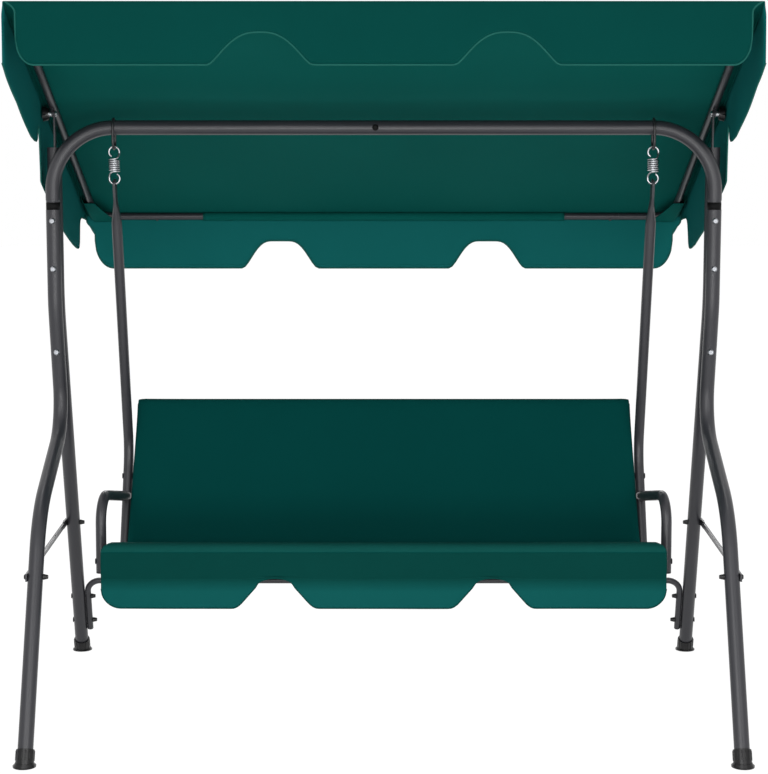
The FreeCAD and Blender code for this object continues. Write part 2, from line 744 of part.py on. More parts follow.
HEM_ROUND = 16.0
SCALLOP_MOUTH = 108.0
SCALLOP_PLATEAU = 30.0
VALANCE_CORNER = 34.0
REAR_HEM_DRAW = 58.0
REAR_MOUTH = 94.0
REAR_PLATEAU = 46.0
front_edge = on_canopy(0, roof_front_u, ROOF_BASE)
front_top = on_canopy(0, roof_front_u, ROOF_BASE + CLOTH).z
front_face = min(front_edge.y, on_canopy(0, -size("canopy_front_reach")).y - canopy_r) - GAP
front_hem = front_top - size("front_valance_drop")
points, rounded = hem_points(
    front_face, front_top, front_hem, roof_x, roof_x - VALANCE_CORNER, VALANCE_CORNER,
    size("scallop_middle"), SCALLOP_MOUTH, SCALLOP_PLATEAU, size("scallop_height"),
)
keep("front_valance", flat_piece(points, Y_AXIS * -CLOTH, rounded))

rear_edge = on_canopy(0, ROOF_REAR_U, ROOF_BASE + CLOTH)
rear_hem = rear_edge.z - size("rear_valance_drop")
points, rounded = hem_points(
    rear_edge.y + GAP, rear_edge.z, rear_hem, roof_x, roof_x - REAR_HEM_DRAW,
    size("rear_valance_drop") - VALANCE_CORNER,
    size("rear_scallop_middle"), REAR_MOUTH, REAR_PLATEAU, size("scallop_height"),
)
keep("rear_valance", flat_piece(points, Y_AXIS * CLOTH, rounded))

FRONT_LOBE_END = -76.0
LOBE_NOTCH = -40.0
REAR_LOBE_START = -22.0
REAR_LOBE_TURN = 330.0
REAR_LOBE_END = 545.0
NOTCH_DROP = 98.0
CORNER_DROP = 42.0
REAR_LOBE_SHARE = 0.82
TIP_ROUND = 9.0
front_line = on_canopy(0, roof_front_u, ROOF_BASE + CLOTH)
rear_line = on_canopy(0, ROOF_REAR_U, ROOF_BASE + CLOTH)


def side_valance(side):
    x = side * (roof_x + GAP)
    hem = [
        (front_line.y - BEAM_Y, size("front_valance_drop")),
        (FRONT_LOBE_END, size("side_valance_front_drop")),
        (LOBE_NOTCH, NOTCH_DROP),
        (REAR_LOBE_START, size("side_valance_rear_drop")),
        (REAR_LOBE_TURN, size("side_valance_rear_drop")),
        (REAR_LOBE_END, size("side_valance_rear_drop") * REAR_LOBE_SHARE),
        (rear_line.y - BEAM_Y - VALANCE_CORNER, CORNER_DROP),
        (rear_line.y - BEAM_Y, CORNER_DROP),
    ]
    points = [Vector(x, rear_line.y, rear_line.z), Vector(x, front_line.y, front_line.z)]
    rounded = []
    for depth, drop in hem:
        y = depth + BEAM_Y
        roof_z = front_line.z - (y - front_line.y) * math.tan(TILT)
        points.append(Vector(x, y, roof_z - drop))
    for index in (3, 5, 7):
        rounded.append((points[index], TIP_ROUND))
    return flat_piece(points, X_AXIS * (side * CLOTH), rounded)


for name, side in SIDES.items():
    keep(f"side_valance_{name}", side_valance(side))


# Suspension: a wire ring over the beam, a coil spring with two hooks, and the hanger tube.
hook_x = size("hook_half_span")
ring_r = LEG_R + size("ring_wire") / 2 + GAP
ring_bottom = beam_axis - size("ring_drop")


def hanger_ring(side):
    x = side * hook_x
    wire = size("ring_wire") / 2
    upper = at(x, 0, beam_axis)
    lower = at(x, 0, ring_bottom + ring_r)
    pieces = []
    for centre, turn in ((upper, 180), (lower, -180)):
        start = centre + Y_AXIS * ring_r
        disc = Part.Face(Part.Wire([Part.makeCircle(wire, start, Z_AXIS)]))
        pieces.append(disc.revolve(centre, X_AXIS, turn))
    for sign in (-1, 1):
        pieces.append(rod(upper + Y_AXIS * (sign * ring_r), lower + Y_AXIS * (sign * ring_r), wire))
    return pieces[0].fuse(pieces[1:]).removeSplitter()


wire_r = size("spring_wire") / 2
coil_r = size("spring_radius")
loop_r = size("spring_loop")
HOOK_PLAY = 0.4
EYE_PLAY = 0.9
EYE_R = 5.0
loop_top = ring_bottom + size("ring_wire") / 2 + wire_r + HOOK_PLAY
upper_loop = loop_top - loop_r
coil_top = upper_loop - size("spring_neck")
coil_bottom = coil_top - size("spring_coils") * size("spring_pitch")
lower_loop = coil_bottom - size("spring_neck")
eye_height = lower_loop - loop_r + wire_r + EYE_PLAY - EYE_R


def arc_along(start, direction, end):
    """Arc that leaves start along direction and ends at end."""
    chord = end - start
    sideways = chord - direction * chord.dot(direction)
    if sideways.Length < 1e-6:
        return Part.LineSegment(start, end)
    radius = chord.dot(chord) / (2 * sideways.Length)
    centre = start + sideways.normalize() * radius
    out = ((start + end) * 0.5 - centre).normalize()
    return Part.Arc(start, centre + out * radius, end)


def biarc(start, start_way, end, end_way):
    """Two tangent arcs between two points with given directions."""
    span = end - start
    ways = start_way + end_way
    spread = 2 * (1 - start_way.dot(end_way))
    along = span.dot(ways)
    if spread < 1e-9:
        reach = span.dot(span) / (2 * along)
    else:
        reach = (-along + math.sqrt(along * along + spread * span.dot(span))) / spread
    middle = (start + end + (start_way - end_way) * reach) * 0.5
    middle_way = (middle - (start + start_way * reach)).normalize()
    return [arc_along(start, start_way, middle), arc_along(middle, middle_way, end)]


def spring_stations(x):
    """Points and directions along a spring from its lower hook to its upper hook."""
    stations = []

    def loop(centre_z, angles):
        for angle in angles:
            a = math.radians(angle)
            point = at(x + loop_r * math.cos(a), 0, centre_z + loop_r * math.sin(a))
            stations.append((point, Vector(-math.sin(a), 0, math.cos(a))))

    loop(lower_loop, (60.0, 0.0, -90.0, -180.0))
    stations[:] = [(point, way * -1) for point, way in stations]
    rise = size("spring_pitch") / (2 * math.pi)
    quarters = int(round(size("spring_coils") * 4))
    for quarter in range(quarters + 1):
        turn = quarter * math.pi / 2
        point = at(x + coil_r * math.sin(turn), -coil_r * math.cos(turn), coil_bottom + rise * turn)
        way = Vector(coil_r * math.cos(turn), coil_r * math.sin(turn), rise).normalize()
        stations.append((point, way))
    loop(upper_loop, (0.0, 90.0, 180.0, 240.0))
    return stations


def spring(side):
    stations = spring_stations(side * hook_x)
    curves = []
    for (start, start_way), (end, end_way) in zip(stations, stations[1:]):
        curves.extend(biarc(start, start_way, end, end_way))
    path = Part.Wire([curve.toShape() for curve in curves])
    return path, swept(path, wire_r)


def least_gap(path, wire_radius):
    """Least distance between turns that aren't neighbours along the wire."""
    points = path.discretize(Distance=1.5)
    skip = int(6 * wire_radius / 1.5)
    nearest = min(
        (points[i] - points[j]).Length
        for i in range(len(points))
        for j in range(i + skip, len(points))
    )
    return nearest - 2 * wire_radius


for name, side in SIDES.items():
    keep(f"hanger_ring_{name}", hanger_ring(side))
    path, shape = spring(side)
    keep(f"spring_{name}", shape)
    print(f"spring_{name} least gap", round(least_gap(path, wire_r), 2), "length", round(path.Length, 1))


# Seat frame: hanger tubes that turn into the back uprights, a U-shaped seat frame,
# a back frame beside the uprights, and armrests saddled on the uprights.
seat_r = size("seat_tube") / 2
rail_r = size("rail_tube") / 2
back_r = size("back_tube") / 2
rail_x = hook_x - seat_r - rail_r - GAP
back_x = rail_x - rail_r - back_r - GAP
arm_x = hook_x + size("arm_offset")
seat_pad_x = arm_x - seat_r - size("pad_arm_gap")
seat_valance_x = seat_pad_x + size("seat_valance_margin")
back_pad_x = hook_x - seat_r - size("back_pad_gap")
rail_slope = size("rail_slope")


def upright_depth(height):
    """Depth of the back upright's axis at a height."""
    return size("upright_foot_depth") + size("upright_slope") * (height - below("upright_end_drop"))


def rail_height(depth):
    """Height of the seat rail's axis at a depth."""
    return below("rail_front_drop") - rail_slope * (depth + size("rail_front_depth"))


bend_height = below("upright_bend_drop")
back_bolt_height = bend_height - size("back_bolt_below_bend")
arm_height = bend_height - size("arm_below_bend")
slope_product = rail_slope * size("upright_slope")
front_offset = rail_slope * (upright_depth(0) + size("rail_front_depth"))
joint_height = (below("rail_front_drop") - front_offset) / (1 + slope_product)
joint_depth = upright_depth(joint_height)
POST_LEAN = 6.0
post_depth = -size("arm_front_depth") - POST_LEAN
post_height = rail_height(post_depth)
RAIL_TAIL = 20.0
PLATE_ABOVE = 12.0
PLATE_BELOW = 26.0
PLUG_STEM = 8.0
PLUG_HEAD = 3.0
INSERT_LENGTH = 45.0
ARM_BOLT_GRIP = 45.0
BACK_TAIL = 16.0
seat_bolts = []
seat_nuts = []
seat_spacers = []
arm_inserts = []
plugs = []


def hanger_tube(side):
    x = side * hook_x
    eye = at(x, 0, eye_height)
    bend = at(x, upright_depth(bend_height), bend_height)
    end = at(x, upright_depth(below("upright_end_drop")), below("upright_end_drop"))
    down = (bend - eye).normalize()
    across = down.cross(X_AXIS)
    half_t = size("hanger_flat") / 2
    half_w = size("hanger_flat_width") / 2

    def flat_section(distance):
        centre = eye + down * distance
        corners = []
        for a, b in ((-1, -1), (1, -1), (1, 1), (-1, 1), (-1, -1)):
            corners.append(centre + X_AXIS * (a * half_t) + across * (b * half_w))
        return Part.makePolygon(corners)

    plate = Part.Face(flat_section(-PLATE_ABOVE)).extrude(down * (PLATE_ABOVE + PLATE_BELOW))
    ears = []
    for edge in plate.Edges:
        middle = edge.CenterOfMass
        if edge.Length < size("hanger_flat") + 0.1 and (middle - eye).dot(down) < -PLATE_ABOVE + 0.1:
            if abs((edge.Vertexes[1].Point - edge.Vertexes[0].Point).normalize().dot(X_AXIS)) > 0.99:
                ears.append(edge)
    plate = plate.makeFillet(PLATE_ABOVE * 0.8, ears)
    tube_start = eye + down * (PLATE_BELOW + size("hanger_crush"))
    round_end = Part.Wire([Part.makeCircle(seat_r, tube_start, down)])
    crushed = Part.makeLoft([flat_section(PLATE_BELOW), round_end], True, True)
    tube = bent_tube([tube_start, bend, end], [size("upright_bend_radius")], seat_r)
    shape = tube.fuse([crushed, plate])
    shape = drilled(shape, eye, X_AXIS, EYE_R)
    core = swept(rounded_path([tube_start, bend, end], [size("upright_bend_radius")]), seat_r + GAP)
    return shape, core, end, (end - bend).normalize()


for name, side in SIDES.items():
    hanger, core, hanger_end, hanger_way = hanger_tube(side)
    outward = X_AXIS * side
    inward = X_AXIS * -side

    arm_start = at(side * hook_x, upright_depth(arm_height), arm_height)
    arm_corner = at(side * arm_x, -size("arm_front_depth"), arm_height + size("arm_rise"))
    arm_end = at(side * arm_x, post_depth, below("arm_end_drop"))
    armrest = bent_tube([arm_start, arm_corner, arm_end], [size("arm_corner")], seat_r)
    armrest = armrest.cut(core)
    arm_way = (arm_corner - arm_start).normalize()
    insert = rod(arm_start, arm_start + arm_way * INSERT_LENGTH, seat_r - WALL).cut(core)
    arm_head = arm_start - arm_way * (seat_r / math.cos(math.atan(size("upright_slope"))) + HEAD_STANDOFF)
    insert = drilled(insert, arm_start, arm_way, HOLE_R)
    hanger = drilled(hanger, arm_start, arm_way, HOLE_R, size("seat_tube") * 2)
    seat_bolts.append(bolt(arm_head, arm_way, ARM_BOLT_GRIP))
    arm_inserts.append(insert)

    low = at(side * hook_x, joint_depth, joint_height)
    high = at(side * hook_x, upright_depth(back_bolt_height), back_bolt_height)
    for centre in (low, high):
        hanger = drilled(hanger, centre, X_AXIS)
        head = centre + outward * (seat_r + GAP)
        grip = hook_x - back_x + seat_r + back_r + 2 * GAP
        seat_bolts.append(bolt(head, inward, grip))
        seat_nuts.append(nut(centre + inward * (grip - seat_r - GAP), inward))
    spacer_start = high + inward * (seat_r + GAP)
    spacer_end = high + inward * (hook_x - back_x - back_r - GAP)
    seat_spacers.append(rod(spacer_start, spacer_end, SPACER_R).cut(rod(spacer_start, spacer_end, HOLE_R)))

    post = at(side * arm_x, post_depth, post_height)
    armrest = drilled(armrest, post, X_AXIS)
    grip = arm_x - rail_x + seat_r + rail_r + 2 * GAP
    seat_bolts.append(bolt(post + outward * (seat_r + GAP), inward, grip))
    seat_nuts.append(nut(post + inward * (grip - seat_r - GAP), inward))
    spacer_start = post + inward * (seat_r + GAP)
    spacer_end = post + inward * (arm_x - rail_x - rail_r - GAP)
    seat_spacers.append(rod(spacer_start, spacer_end, SPACER_R).cut(rod(spacer_start, spacer_end, HOLE_R)))

    for end, way in ((hanger_end, hanger_way), (arm_end, (arm_end - arm_corner).normalize())):
        stem = rod(end - way * PLUG_STEM, end + way * GAP, seat_r - WALL - size("swage_play"))
        plugs.append(stem.fuse(rod(end + way * GAP, end + way * (GAP + PLUG_HEAD), seat_r)))
    keep(f"hanger_tube_{name}", hanger)
    keep(f"armrest_{name}", armrest)

keep("seat_bolts", Part.makeCompound(seat_bolts))
keep("seat_nuts", Part.makeCompound(seat_nuts))
keep("seat_spacers", Part.makeCompound(seat_spacers))
keep("arm_inserts", Part.makeCompound(arm_inserts))
keep("tube_plugs", Part.makeCompound(plugs))

rail_back = joint_depth + RAIL_TAIL
rail_points = [
    at(-rail_x, rail_back, rail_height(rail_back)),
    at(-rail_x, -size("rail_front_depth"), below("rail_front_drop")),
    at(rail_x, -size("rail_front_depth"), below("rail_front_drop")),
    at(rail_x, rail_back, rail_height(rail_back)),
]
rail_path = rounded_path(rail_points, [size("rail_corner")] * 2)
seat_frame = bent_tube(rail_points, [size("rail_corner")] * 2, rail_r)
back_low = joint_height - BACK_TAIL
back_points = [
    at(-back_x, upright_depth(back_low), back_low),
    at(-back_x, upright_depth(below("back_top_drop")), below("back_top_drop")),
    at(back_x, upright_depth(below("back_top_drop")), below("back_top_drop")),
    at(back_x, upright_depth(back_low), back_low),
]
back_frame = bent_tube(back_points, [size("back_corner")] * 2, back_r)
for side in SIDES.values():
    for depth, height in ((joint_depth, joint_height), (post_depth, post_height)):
        centre = at(side * rail_x, depth, height)
        seat_frame = drilled(seat_frame, centre, X_AXIS, HOLE_R, size("rail_tube") * 2)
    for height in (joint_height, back_bolt_height):
        centre = at(side * back_x, upright_depth(height), height)
        back_frame = drilled(back_frame, centre, X_AXIS, HOLE_R, size("back_tube") * 2)
keep("seat_frame", seat_frame)
keep("back_frame", back_frame)
rear_tube_depth = joint_depth - size("rear_tube_gap")
rear_ends = [at(sign * rail_x, rear_tube_depth, rail_height(rear_tube_depth)) for sign in (-1, 1)]
rear_bar = rod(rear_ends[0], rear_ends[1], back_r).cut(rod(rear_ends[0], rear_ends[1], back_r - WALL))
keep("seat_rear_tube", rear_bar.cut(swept(rail_path, rail_r + GAP)))

# Seat and back coverings: a sling under a crowned pad, a crowned back pad, a front valance.
rail_angle = math.atan(rail_slope)
SEAT_BACKWARD = Vector(0, math.cos(rail_angle), -math.sin(rail_angle))
SEAT_UP = Vector(0, math.sin(rail_angle), math.cos(rail_angle))
seat_origin = at(0, -size("rail_front_depth"), below("rail_front_drop"))
sling_x = rail_x - size("sling_inset")
sling_base = rail_r + GAP
sling_length = (rear_tube_depth + size("rail_front_depth")) / math.cos(rail_angle)
sling = doc.addObject("Part::Box", "seat_sling")
sling.Length = 2 * sling_x
sling.Width = sling_length
sling.setExpression("Height", "dims.cloth")
sling.Placement = Placement(
    seat_origin + SEAT_UP * sling_base - X_AXIS * sling_x,
    Rotation(X_AXIS, -math.degrees(rail_angle)),
)
register("seat_sling", sling)


def padded_profile(origin, along, up, x, start, end, base, thickness, end_thickness, crown):
    """Closed cushion section: flat base, bulging ends and a crowned top that may fall to its end."""
    def point(a, b):
        return origin + X_AXIS * x + along * a + up * b

    top = base + thickness
    end_top = base + end_thickness
    middle = (start + end) / 2
    middle_top = (top + end_top) / 2 + crown
    edges = [
        Part.LineSegment(point(start, base), point(end, base)),
        Part.Arc(point(end, base), point(end + PAD_BULGE, (base + end_top) / 2), point(end, end_top)),
        Part.Arc(point(end, end_top), point(middle, middle_top), point(start, top)),
        Part.Arc(point(start, top), point(start - PAD_BULGE, (base + top) / 2), point(start, base)),
    ]
    return Part.Wire([edge.toShape() for edge in edges])


END_THIN = 0.62
END_DRAW = 10.0
SHOULDER = 42.0
PAD_BULGE = 7.0


def cushion(origin, along, up, half_width, start, end, base, thickness, end_thickness, crown):
    """Cushion lofted across its width, thinner and drawn in at its ends."""
    stations = [
        (-half_width, END_THIN, END_DRAW),
        (-half_width + SHOULDER, 0.95, 1.0),
        (0.0, 1.0, 0.0),
        (half_width - SHOULDER, 0.95, 1.0),
        (half_width, END_THIN, END_DRAW),
    ]
    sections = []
    for x, share, draw in stations:
        sections.append(padded_profile(
            origin, along, up, x, start + draw, end - draw,
            base, thickness * share, end_thickness * share, crown * share,
        ))
    return Part.makeLoft(sections, True, True)


pad_base = sling_base + CLOTH + GAP
PAD_FRONT = -25.0
PAD_REAR_LAP = -3.0
seat_pad = cushion(
    seat_origin, SEAT_BACKWARD, SEAT_UP, seat_pad_x,
    PAD_FRONT, sling_length + PAD_REAR_LAP, pad_base,
    size("seat_pad"), size("seat_pad_rear"), size("seat_crown"),
)
keep("seat_pad", seat_pad)

back_angle = math.atan(size("upright_slope"))
BACK_UP = Vector(0, math.sin(back_angle), math.cos(back_angle))
BACK_FORWARD = Vector(0, -math.cos(back_angle), math.sin(back_angle))
back_foot = below("back_pad_foot_drop")
back_origin = at(0, upright_depth(back_foot), back_foot)
back_length = (below("back_top_drop") + back_r - back_foot) / math.cos(back_angle)
keep("back_pad", cushion(
    back_origin, BACK_UP, BACK_FORWARD, back_pad_x,
    PAD_BULGE, back_length, back_r + GAP, size("back_pad"), size("back_pad"), size("seat_crown"),
))

SEAT_CUT_MOUTH = 94.0
SEAT_CUT_PLATEAU = 46.0
SEAT_CORNER = 46.0
wall_y = seat_pad.BoundBox.YMin - PAD_BULGE
wall_side = 2 * seat_valance_x
wall_corner = Vector(-wall_side / 2, wall_y, below("seat_valance_bottom_drop"))
front_wall = Part.makePlane(wall_side, wall_side, wall_corner, Y_AXIS)
pad_front_y = wall_y + seat_pad.distToShape(front_wall)[0]
points, rounded = hem_points(
    pad_front_y - GAP, below("seat_valance_top_drop"), below("seat_valance_bottom_drop"),
    seat_valance_x, seat_valance_x - SEAT_CORNER, SEAT_CORNER,
    size("seat_cut_middle"), SEAT_CUT_MOUTH, SEAT_CUT_PLATEAU, size("seat_cut_height"),
)
keep("seat_valance", flat_piece(points, Y_AXIS * -CLOTH, rounded))

doc.recompute()
faults = []
for item in doc.Objects:
    if "Invalid" in item.State or "Error" in item.State:
        faults.append(f"{item.Name}: {item.State}")
for label, feature in parts.items():
    shape = feature.Shape
    if shape.isNull() or not shape.isValid() or shape.Volume <= 0:
        faults.append(f"{label}: bad shape")
if faults:
    raise RuntimeError("; ".join(faults))

os.makedirs("parts", exist_ok=True)
for label, feature in parts.items():
    feature.Shape.exportStep(os.path.join("parts", f"{label}.step"))
print(len(parts), "sub-parts, beam at depth", round(BEAM_Y, 2))
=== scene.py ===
# %% [markdown]
# # A garden swing seat
# The real thing is a powder-coated tube stand, a cloth canopy and a padded bench on two springs.
# The construction model already holds every tube and bolt at its true place, so this lesson keeps
# those solids and gives them finishes, and then makes the cloth, the pads, the springs and the
# small moulded parts that a construction model can't show well.

# %% Load the construction model
import bpy
import json
import math
from functools import partial
from mathutils import Matrix, Vector, noise


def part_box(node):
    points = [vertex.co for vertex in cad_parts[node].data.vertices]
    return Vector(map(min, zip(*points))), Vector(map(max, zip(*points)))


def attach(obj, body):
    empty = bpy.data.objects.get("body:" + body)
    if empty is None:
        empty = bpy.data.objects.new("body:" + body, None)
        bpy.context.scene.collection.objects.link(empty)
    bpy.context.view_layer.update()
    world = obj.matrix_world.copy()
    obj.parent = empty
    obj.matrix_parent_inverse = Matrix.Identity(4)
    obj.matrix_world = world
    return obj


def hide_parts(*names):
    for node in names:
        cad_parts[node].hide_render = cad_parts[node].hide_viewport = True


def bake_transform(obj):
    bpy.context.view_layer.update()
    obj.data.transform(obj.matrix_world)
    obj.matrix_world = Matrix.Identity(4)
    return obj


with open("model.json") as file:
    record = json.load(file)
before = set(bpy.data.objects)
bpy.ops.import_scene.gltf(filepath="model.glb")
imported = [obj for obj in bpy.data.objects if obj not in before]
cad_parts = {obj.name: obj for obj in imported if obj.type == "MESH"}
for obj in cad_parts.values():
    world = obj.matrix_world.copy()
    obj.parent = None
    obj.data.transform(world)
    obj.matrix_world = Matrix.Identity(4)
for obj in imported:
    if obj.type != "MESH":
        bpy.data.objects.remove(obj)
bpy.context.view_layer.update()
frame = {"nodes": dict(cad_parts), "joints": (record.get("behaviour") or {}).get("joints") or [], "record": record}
nodes = frame["nodes"]
joints = {joint["name"]: joint for joint in frame["joints"]}
BEAM = Vector(joints["swing"]["pos_m"])
PIVOT = Vector(joints["canopy_tilt"]["pos_m"])
SIDES = (("left", -1), ("right", 1))


def clear_selection():
    """Leave edit mode and select nothing."""
    if bpy.context.object and bpy.context.object.mode != "OBJECT":
        bpy.ops.object.mode_set(mode="OBJECT")
    bpy.ops.object.select_all(action="DESELECT")


def newest(name):
    """The object just made, with a name for it and for its data."""
    piece = bpy.context.object
    piece.name = name
    piece.data.name = name
    return piece


# %% [markdown]
# ## Camera
# The photograph is a straight front view with a long lens, slightly above the beam's height. The
# camera could be fitted by eye, but the tube's known width at three distances gives it directly.
# It is pitched down and not shifted, so other views keep the same lens.

# %% Camera
CAMERA_SIDE = 0.0007
CAMERA_BACK = 4.736
CAMERA_HEIGHT = 1.390
CAMERA_PITCH = 7.3
CAMERA_LENS = 90.7
SENSOR_WIDTH = 36

clear_selection()
bpy.ops.object.camera_add(
    location=(CAMERA_SIDE, BEAM.y - CAMERA_BACK, CAMERA_HEIGHT),
    rotation=(math.radians(90 - CAMERA_PITCH), 0, 0),
)
camera = newest("photo_camera")
camera.data.lens = CAMERA_LENS
camera.data.sensor_width = SENSOR_WIDTH
camera.data.clip_end = 60
bpy.context.scene.camera = camera
bpy.context.scene.view_settings.view_transform = "Standard"
print("camera at", tuple(round(v, 3) for v in camera.location))

# %% [markdown]
# ## Floor, sky and lamps
# The photograph has a white ground with hardly a shadow. The floor could be a shadow catcher, but a
# pale floor that shows as white to the camera and to reflections keeps a faint shadow and no
# light is added to the object. Large soft lamps stand for the studio's light boxes.


# %% Node helpers
def new_node(tree, kind, **values):
    """Node with plain values on its named inputs."""
    node = tree.nodes.new(kind)
    for label, value in values.items():
        node.inputs[label].default_value = value
    return node


def math_node(tree, operation, first, second):
    """Math node fed by sockets or plain numbers."""
    node = tree.nodes.new("ShaderNodeMath")
    node.operation = operation
    for slot, value in zip(node.inputs, (first, second)):
        if isinstance(value, (int, float)):
            slot.default_value = value
        else:
            tree.links.new(value, slot)
    return node.outputs[0]


def seen_directly(tree):
    """Mask of camera, glossy and transmission rays."""
    path = tree.nodes.new("ShaderNodeLightPath").outputs
    direct = math_node(tree, "MAXIMUM", path["Is Camera Ray"], path["Is Glossy Ray"])
    return math_node(tree, "MAXIMUM", direct, path["Is Transmission Ray"])


def mixed_shader(tree, share, unseen, seen, output):
    """Two shaders mixed by a share, joined to a new output node."""
    mix = tree.nodes.new("ShaderNodeMixShader")
    for slot, socket in zip(mix.inputs, (share, unseen.outputs[0], seen.outputs[0])):
        tree.links.new(socket, slot)
    tree.links.new(mix.outputs[0], tree.nodes.new(output).inputs[0])


# %% Floor and sky
WHITE = (1, 1, 1, 1)
FLOOR_TONE = (0.86, 0.86, 0.86, 1)
FLOOR_GLOW = 1.06
FLOOR_SEEN = 0.94
SKY_TONE = (0.95, 0.97, 1.0, 1)
SKY_STRENGTH = 0.55

clear_selection()
bpy.ops.mesh.primitive_plane_add(size=40, location=(0, 0, -0.0005))
floor = newest("studio_floor")
floor_finish = bpy.data.materials.new("studio_floor")
floor_finish.use_nodes = True
tree = floor_finish.node_tree
tree.nodes.clear()
mixed_shader(
    tree,
    math_node(tree, "MULTIPLY", seen_directly(tree), FLOOR_SEEN),
    new_node(tree, "ShaderNodeBsdfDiffuse", Color=FLOOR_TONE),
    new_node(tree, "ShaderNodeEmission", Color=WHITE, Strength=FLOOR_GLOW),
    "ShaderNodeOutputMaterial",
)
floor.data.materials.append(floor_finish)

world = bpy.data.worlds.new("studio_sky")
bpy.context.scene.world = world
world.use_nodes = True
tree = world.node_tree
tree.nodes.clear()
mixed_shader(
    tree,
    seen_directly(tree),
    new_node(tree, "ShaderNodeBackground", Color=SKY_TONE, Strength=SKY_STRENGTH),
    new_node(tree, "ShaderNodeBackground", Color=WHITE, Strength=1.0),
    "ShaderNodeOutputWorld",
)
print("floor and sky made")


# %% Lamps
def soft_box(name, place, aim, size, power):
    """Area lamp of a size that looks at a point."""
    clear_selection()
    bpy.ops.object.light_add(type="AREA", location=place)
    lamp = newest(name)
    lamp.data.shape = "RECTANGLE"
    lamp.data.size = size[0]
    lamp.data.size_y = size[1]
    lamp.data.energy = power
    lamp.rotation_euler = (Vector(aim) - Vector(place)).to_track_quat("-Z", "Y").to_euler()
    print("lamp", name, power, "W")


soft_box("key_box", (-1.6, -5.2, 3.2), (0, 0, 0.8), (2.6, 2.6), 64)
soft_box("fill_box", (2.4, -4.8, 2.2), (0, 0, 0.8), (2.6, 2.6), 46)
soft_box("bench_box", (0, -2.3, 1.20), (0, 0.05, 0.42), (1.5, 0.3), 6)
soft_box("low_box", (0, -3.4, 0.25), (0, 0.1, 1.5), (3.0, 0.8), 46)
soft_box("top_box", (0, 0.4, 5.0), (0, 0, 0.5), (3.5, 3.0), 120)
soft_box("rear_box", (0, 4.5, 2.6), (0, 0, 0.8), (3.0, 2.0), 90)

# %% [markdown]
# ## Finishes
# Powder coat is a thin paint with a faint orange-peel skin, so its group gives a fine height and a
# little change in gloss. The cloth is a coated plain weave: its group crosses two sets of threads
# and adds soft tone changes. Each could be built anew in every material, but several finishes
# share them with their own values, so they are groups.


# %% Group helpers
def group_with(name, inputs, outputs):
    """Empty shader group with named float or vector sockets."""
    group = bpy.data.node_groups.new(name, "ShaderNodeTree")
    for label, kind, value in inputs:
        socket = group.interface.new_socket(label, in_out="INPUT", socket_type=kind)
        if value is not None:
            socket.default_value = value
    for label in outputs:
        group.interface.new_socket(label, in_out="OUTPUT", socket_type="NodeSocketFloat")
    return group, group.nodes.new("NodeGroupInput"), group.nodes.new("NodeGroupOutput")


def noise_node(tree, vector, scale, detail):
    """Noise texture on a vector socket, its scale a number or a socket."""
    node = new_node(tree, "ShaderNodeTexNoise", Detail=detail)
    if isinstance(scale, (int, float)):
        node.inputs["Scale"].default_value = scale
    else:
        tree.links.new(scale, node.inputs["Scale"])
    tree.links.new(vector, node.inputs["Vector"])
    return node.outputs["Fac"]


# %% Skin of paint, plastic and zinc
skin, start, end = group_with(
    "moulded_skin",
    [("Vector", "NodeSocketVector", None), ("Grain", "NodeSocketFloat", 500.0),
     ("Gloss", "NodeSocketFloat", 0.4), ("Spread", "NodeSocketFloat", 0.1)],
    ["Height", "Roughness", "Tone"],
)
fine = noise_node(skin, start.outputs["Vector"], start.outputs["Grain"], 2.0)
broad = noise_node(skin, start.outputs["Vector"], 7.0, 3.0)
gloss_change = math_node(skin, "MULTIPLY", math_node(skin, "SUBTRACT", broad, 0.5), start.outputs["Spread"])
skin.links.new(fine, end.inputs["Height"])
skin.links.new(math_node(skin, "ADD", start.outputs["Gloss"], gloss_change), end.inputs["Roughness"])
skin.links.new(broad, end.inputs["Tone"])
print("node group", skin.name)

# %% Weave of the cloth
weave, start, end = group_with(
    "crossed_threads",
    [("Vector", "NodeSocketVector", None), ("Threads", "NodeSocketFloat", 600.0),
     ("Patch", "NodeSocketFloat", 3.0)],
    ["Height", "Tone", "Slub"],
)
bands = []
for direction in ("X", "Y"):
    wave = weave.nodes.new("ShaderNodeTexWave")
    wave.wave_type = "BANDS"
    wave.bands_direction = direction
    weave.links.new(start.outputs["Vector"], wave.inputs["Vector"])
    weave.links.new(start.outputs["Threads"], wave.inputs["Scale"])
    bands.append(wave.outputs["Fac"])
weave.links.new(math_node(weave, "MAXIMUM", *bands), end.inputs["Height"])
weave.links.new(noise_node(weave, start.outputs["Vector"], start.outputs["Patch"], 4.0), end.inputs["Tone"])
weave.links.new(noise_node(weave, start.outputs["Vector"], 140.0, 2.0), end.inputs["Slub"])
print("node group", weave.name)


# %% Finish helpers
def new_finish(name, specular):
    """Material with its node tree and its shader."""
    finish = bpy.data.materials.new(name)
    finish.use_nodes = True
    shader = finish.node_tree.nodes["Principled BSDF"]
    shader.inputs["Specular IOR Level"].default_value = specular
    return finish, finish.node_tree, shader


def placed_group(tree, group, vector, **values):
    """Shared group in a material, fed by a coordinate socket."""
    node = tree.nodes.new("ShaderNodeGroup")
    node.node_tree = group
    for label, value in values.items():
        node.inputs[label].default_value = value
    tree.links.new(vector, node.inputs["Vector"])
    return node


def mixed_colour(tree, share, low, high):
    """Colour between two colours or sockets by a share."""
    node = tree.nodes.new("ShaderNodeMix")
    node.data_type = "RGBA"
    tree.links.new(share, node.inputs["Factor"])
    for slot, value in (("A", low), ("B", high)):
        if isinstance(value, tuple):
            node.inputs[slot].default_value = value
        else:
            tree.links.new(value, node.inputs[slot])
    return node.outputs["Result"]


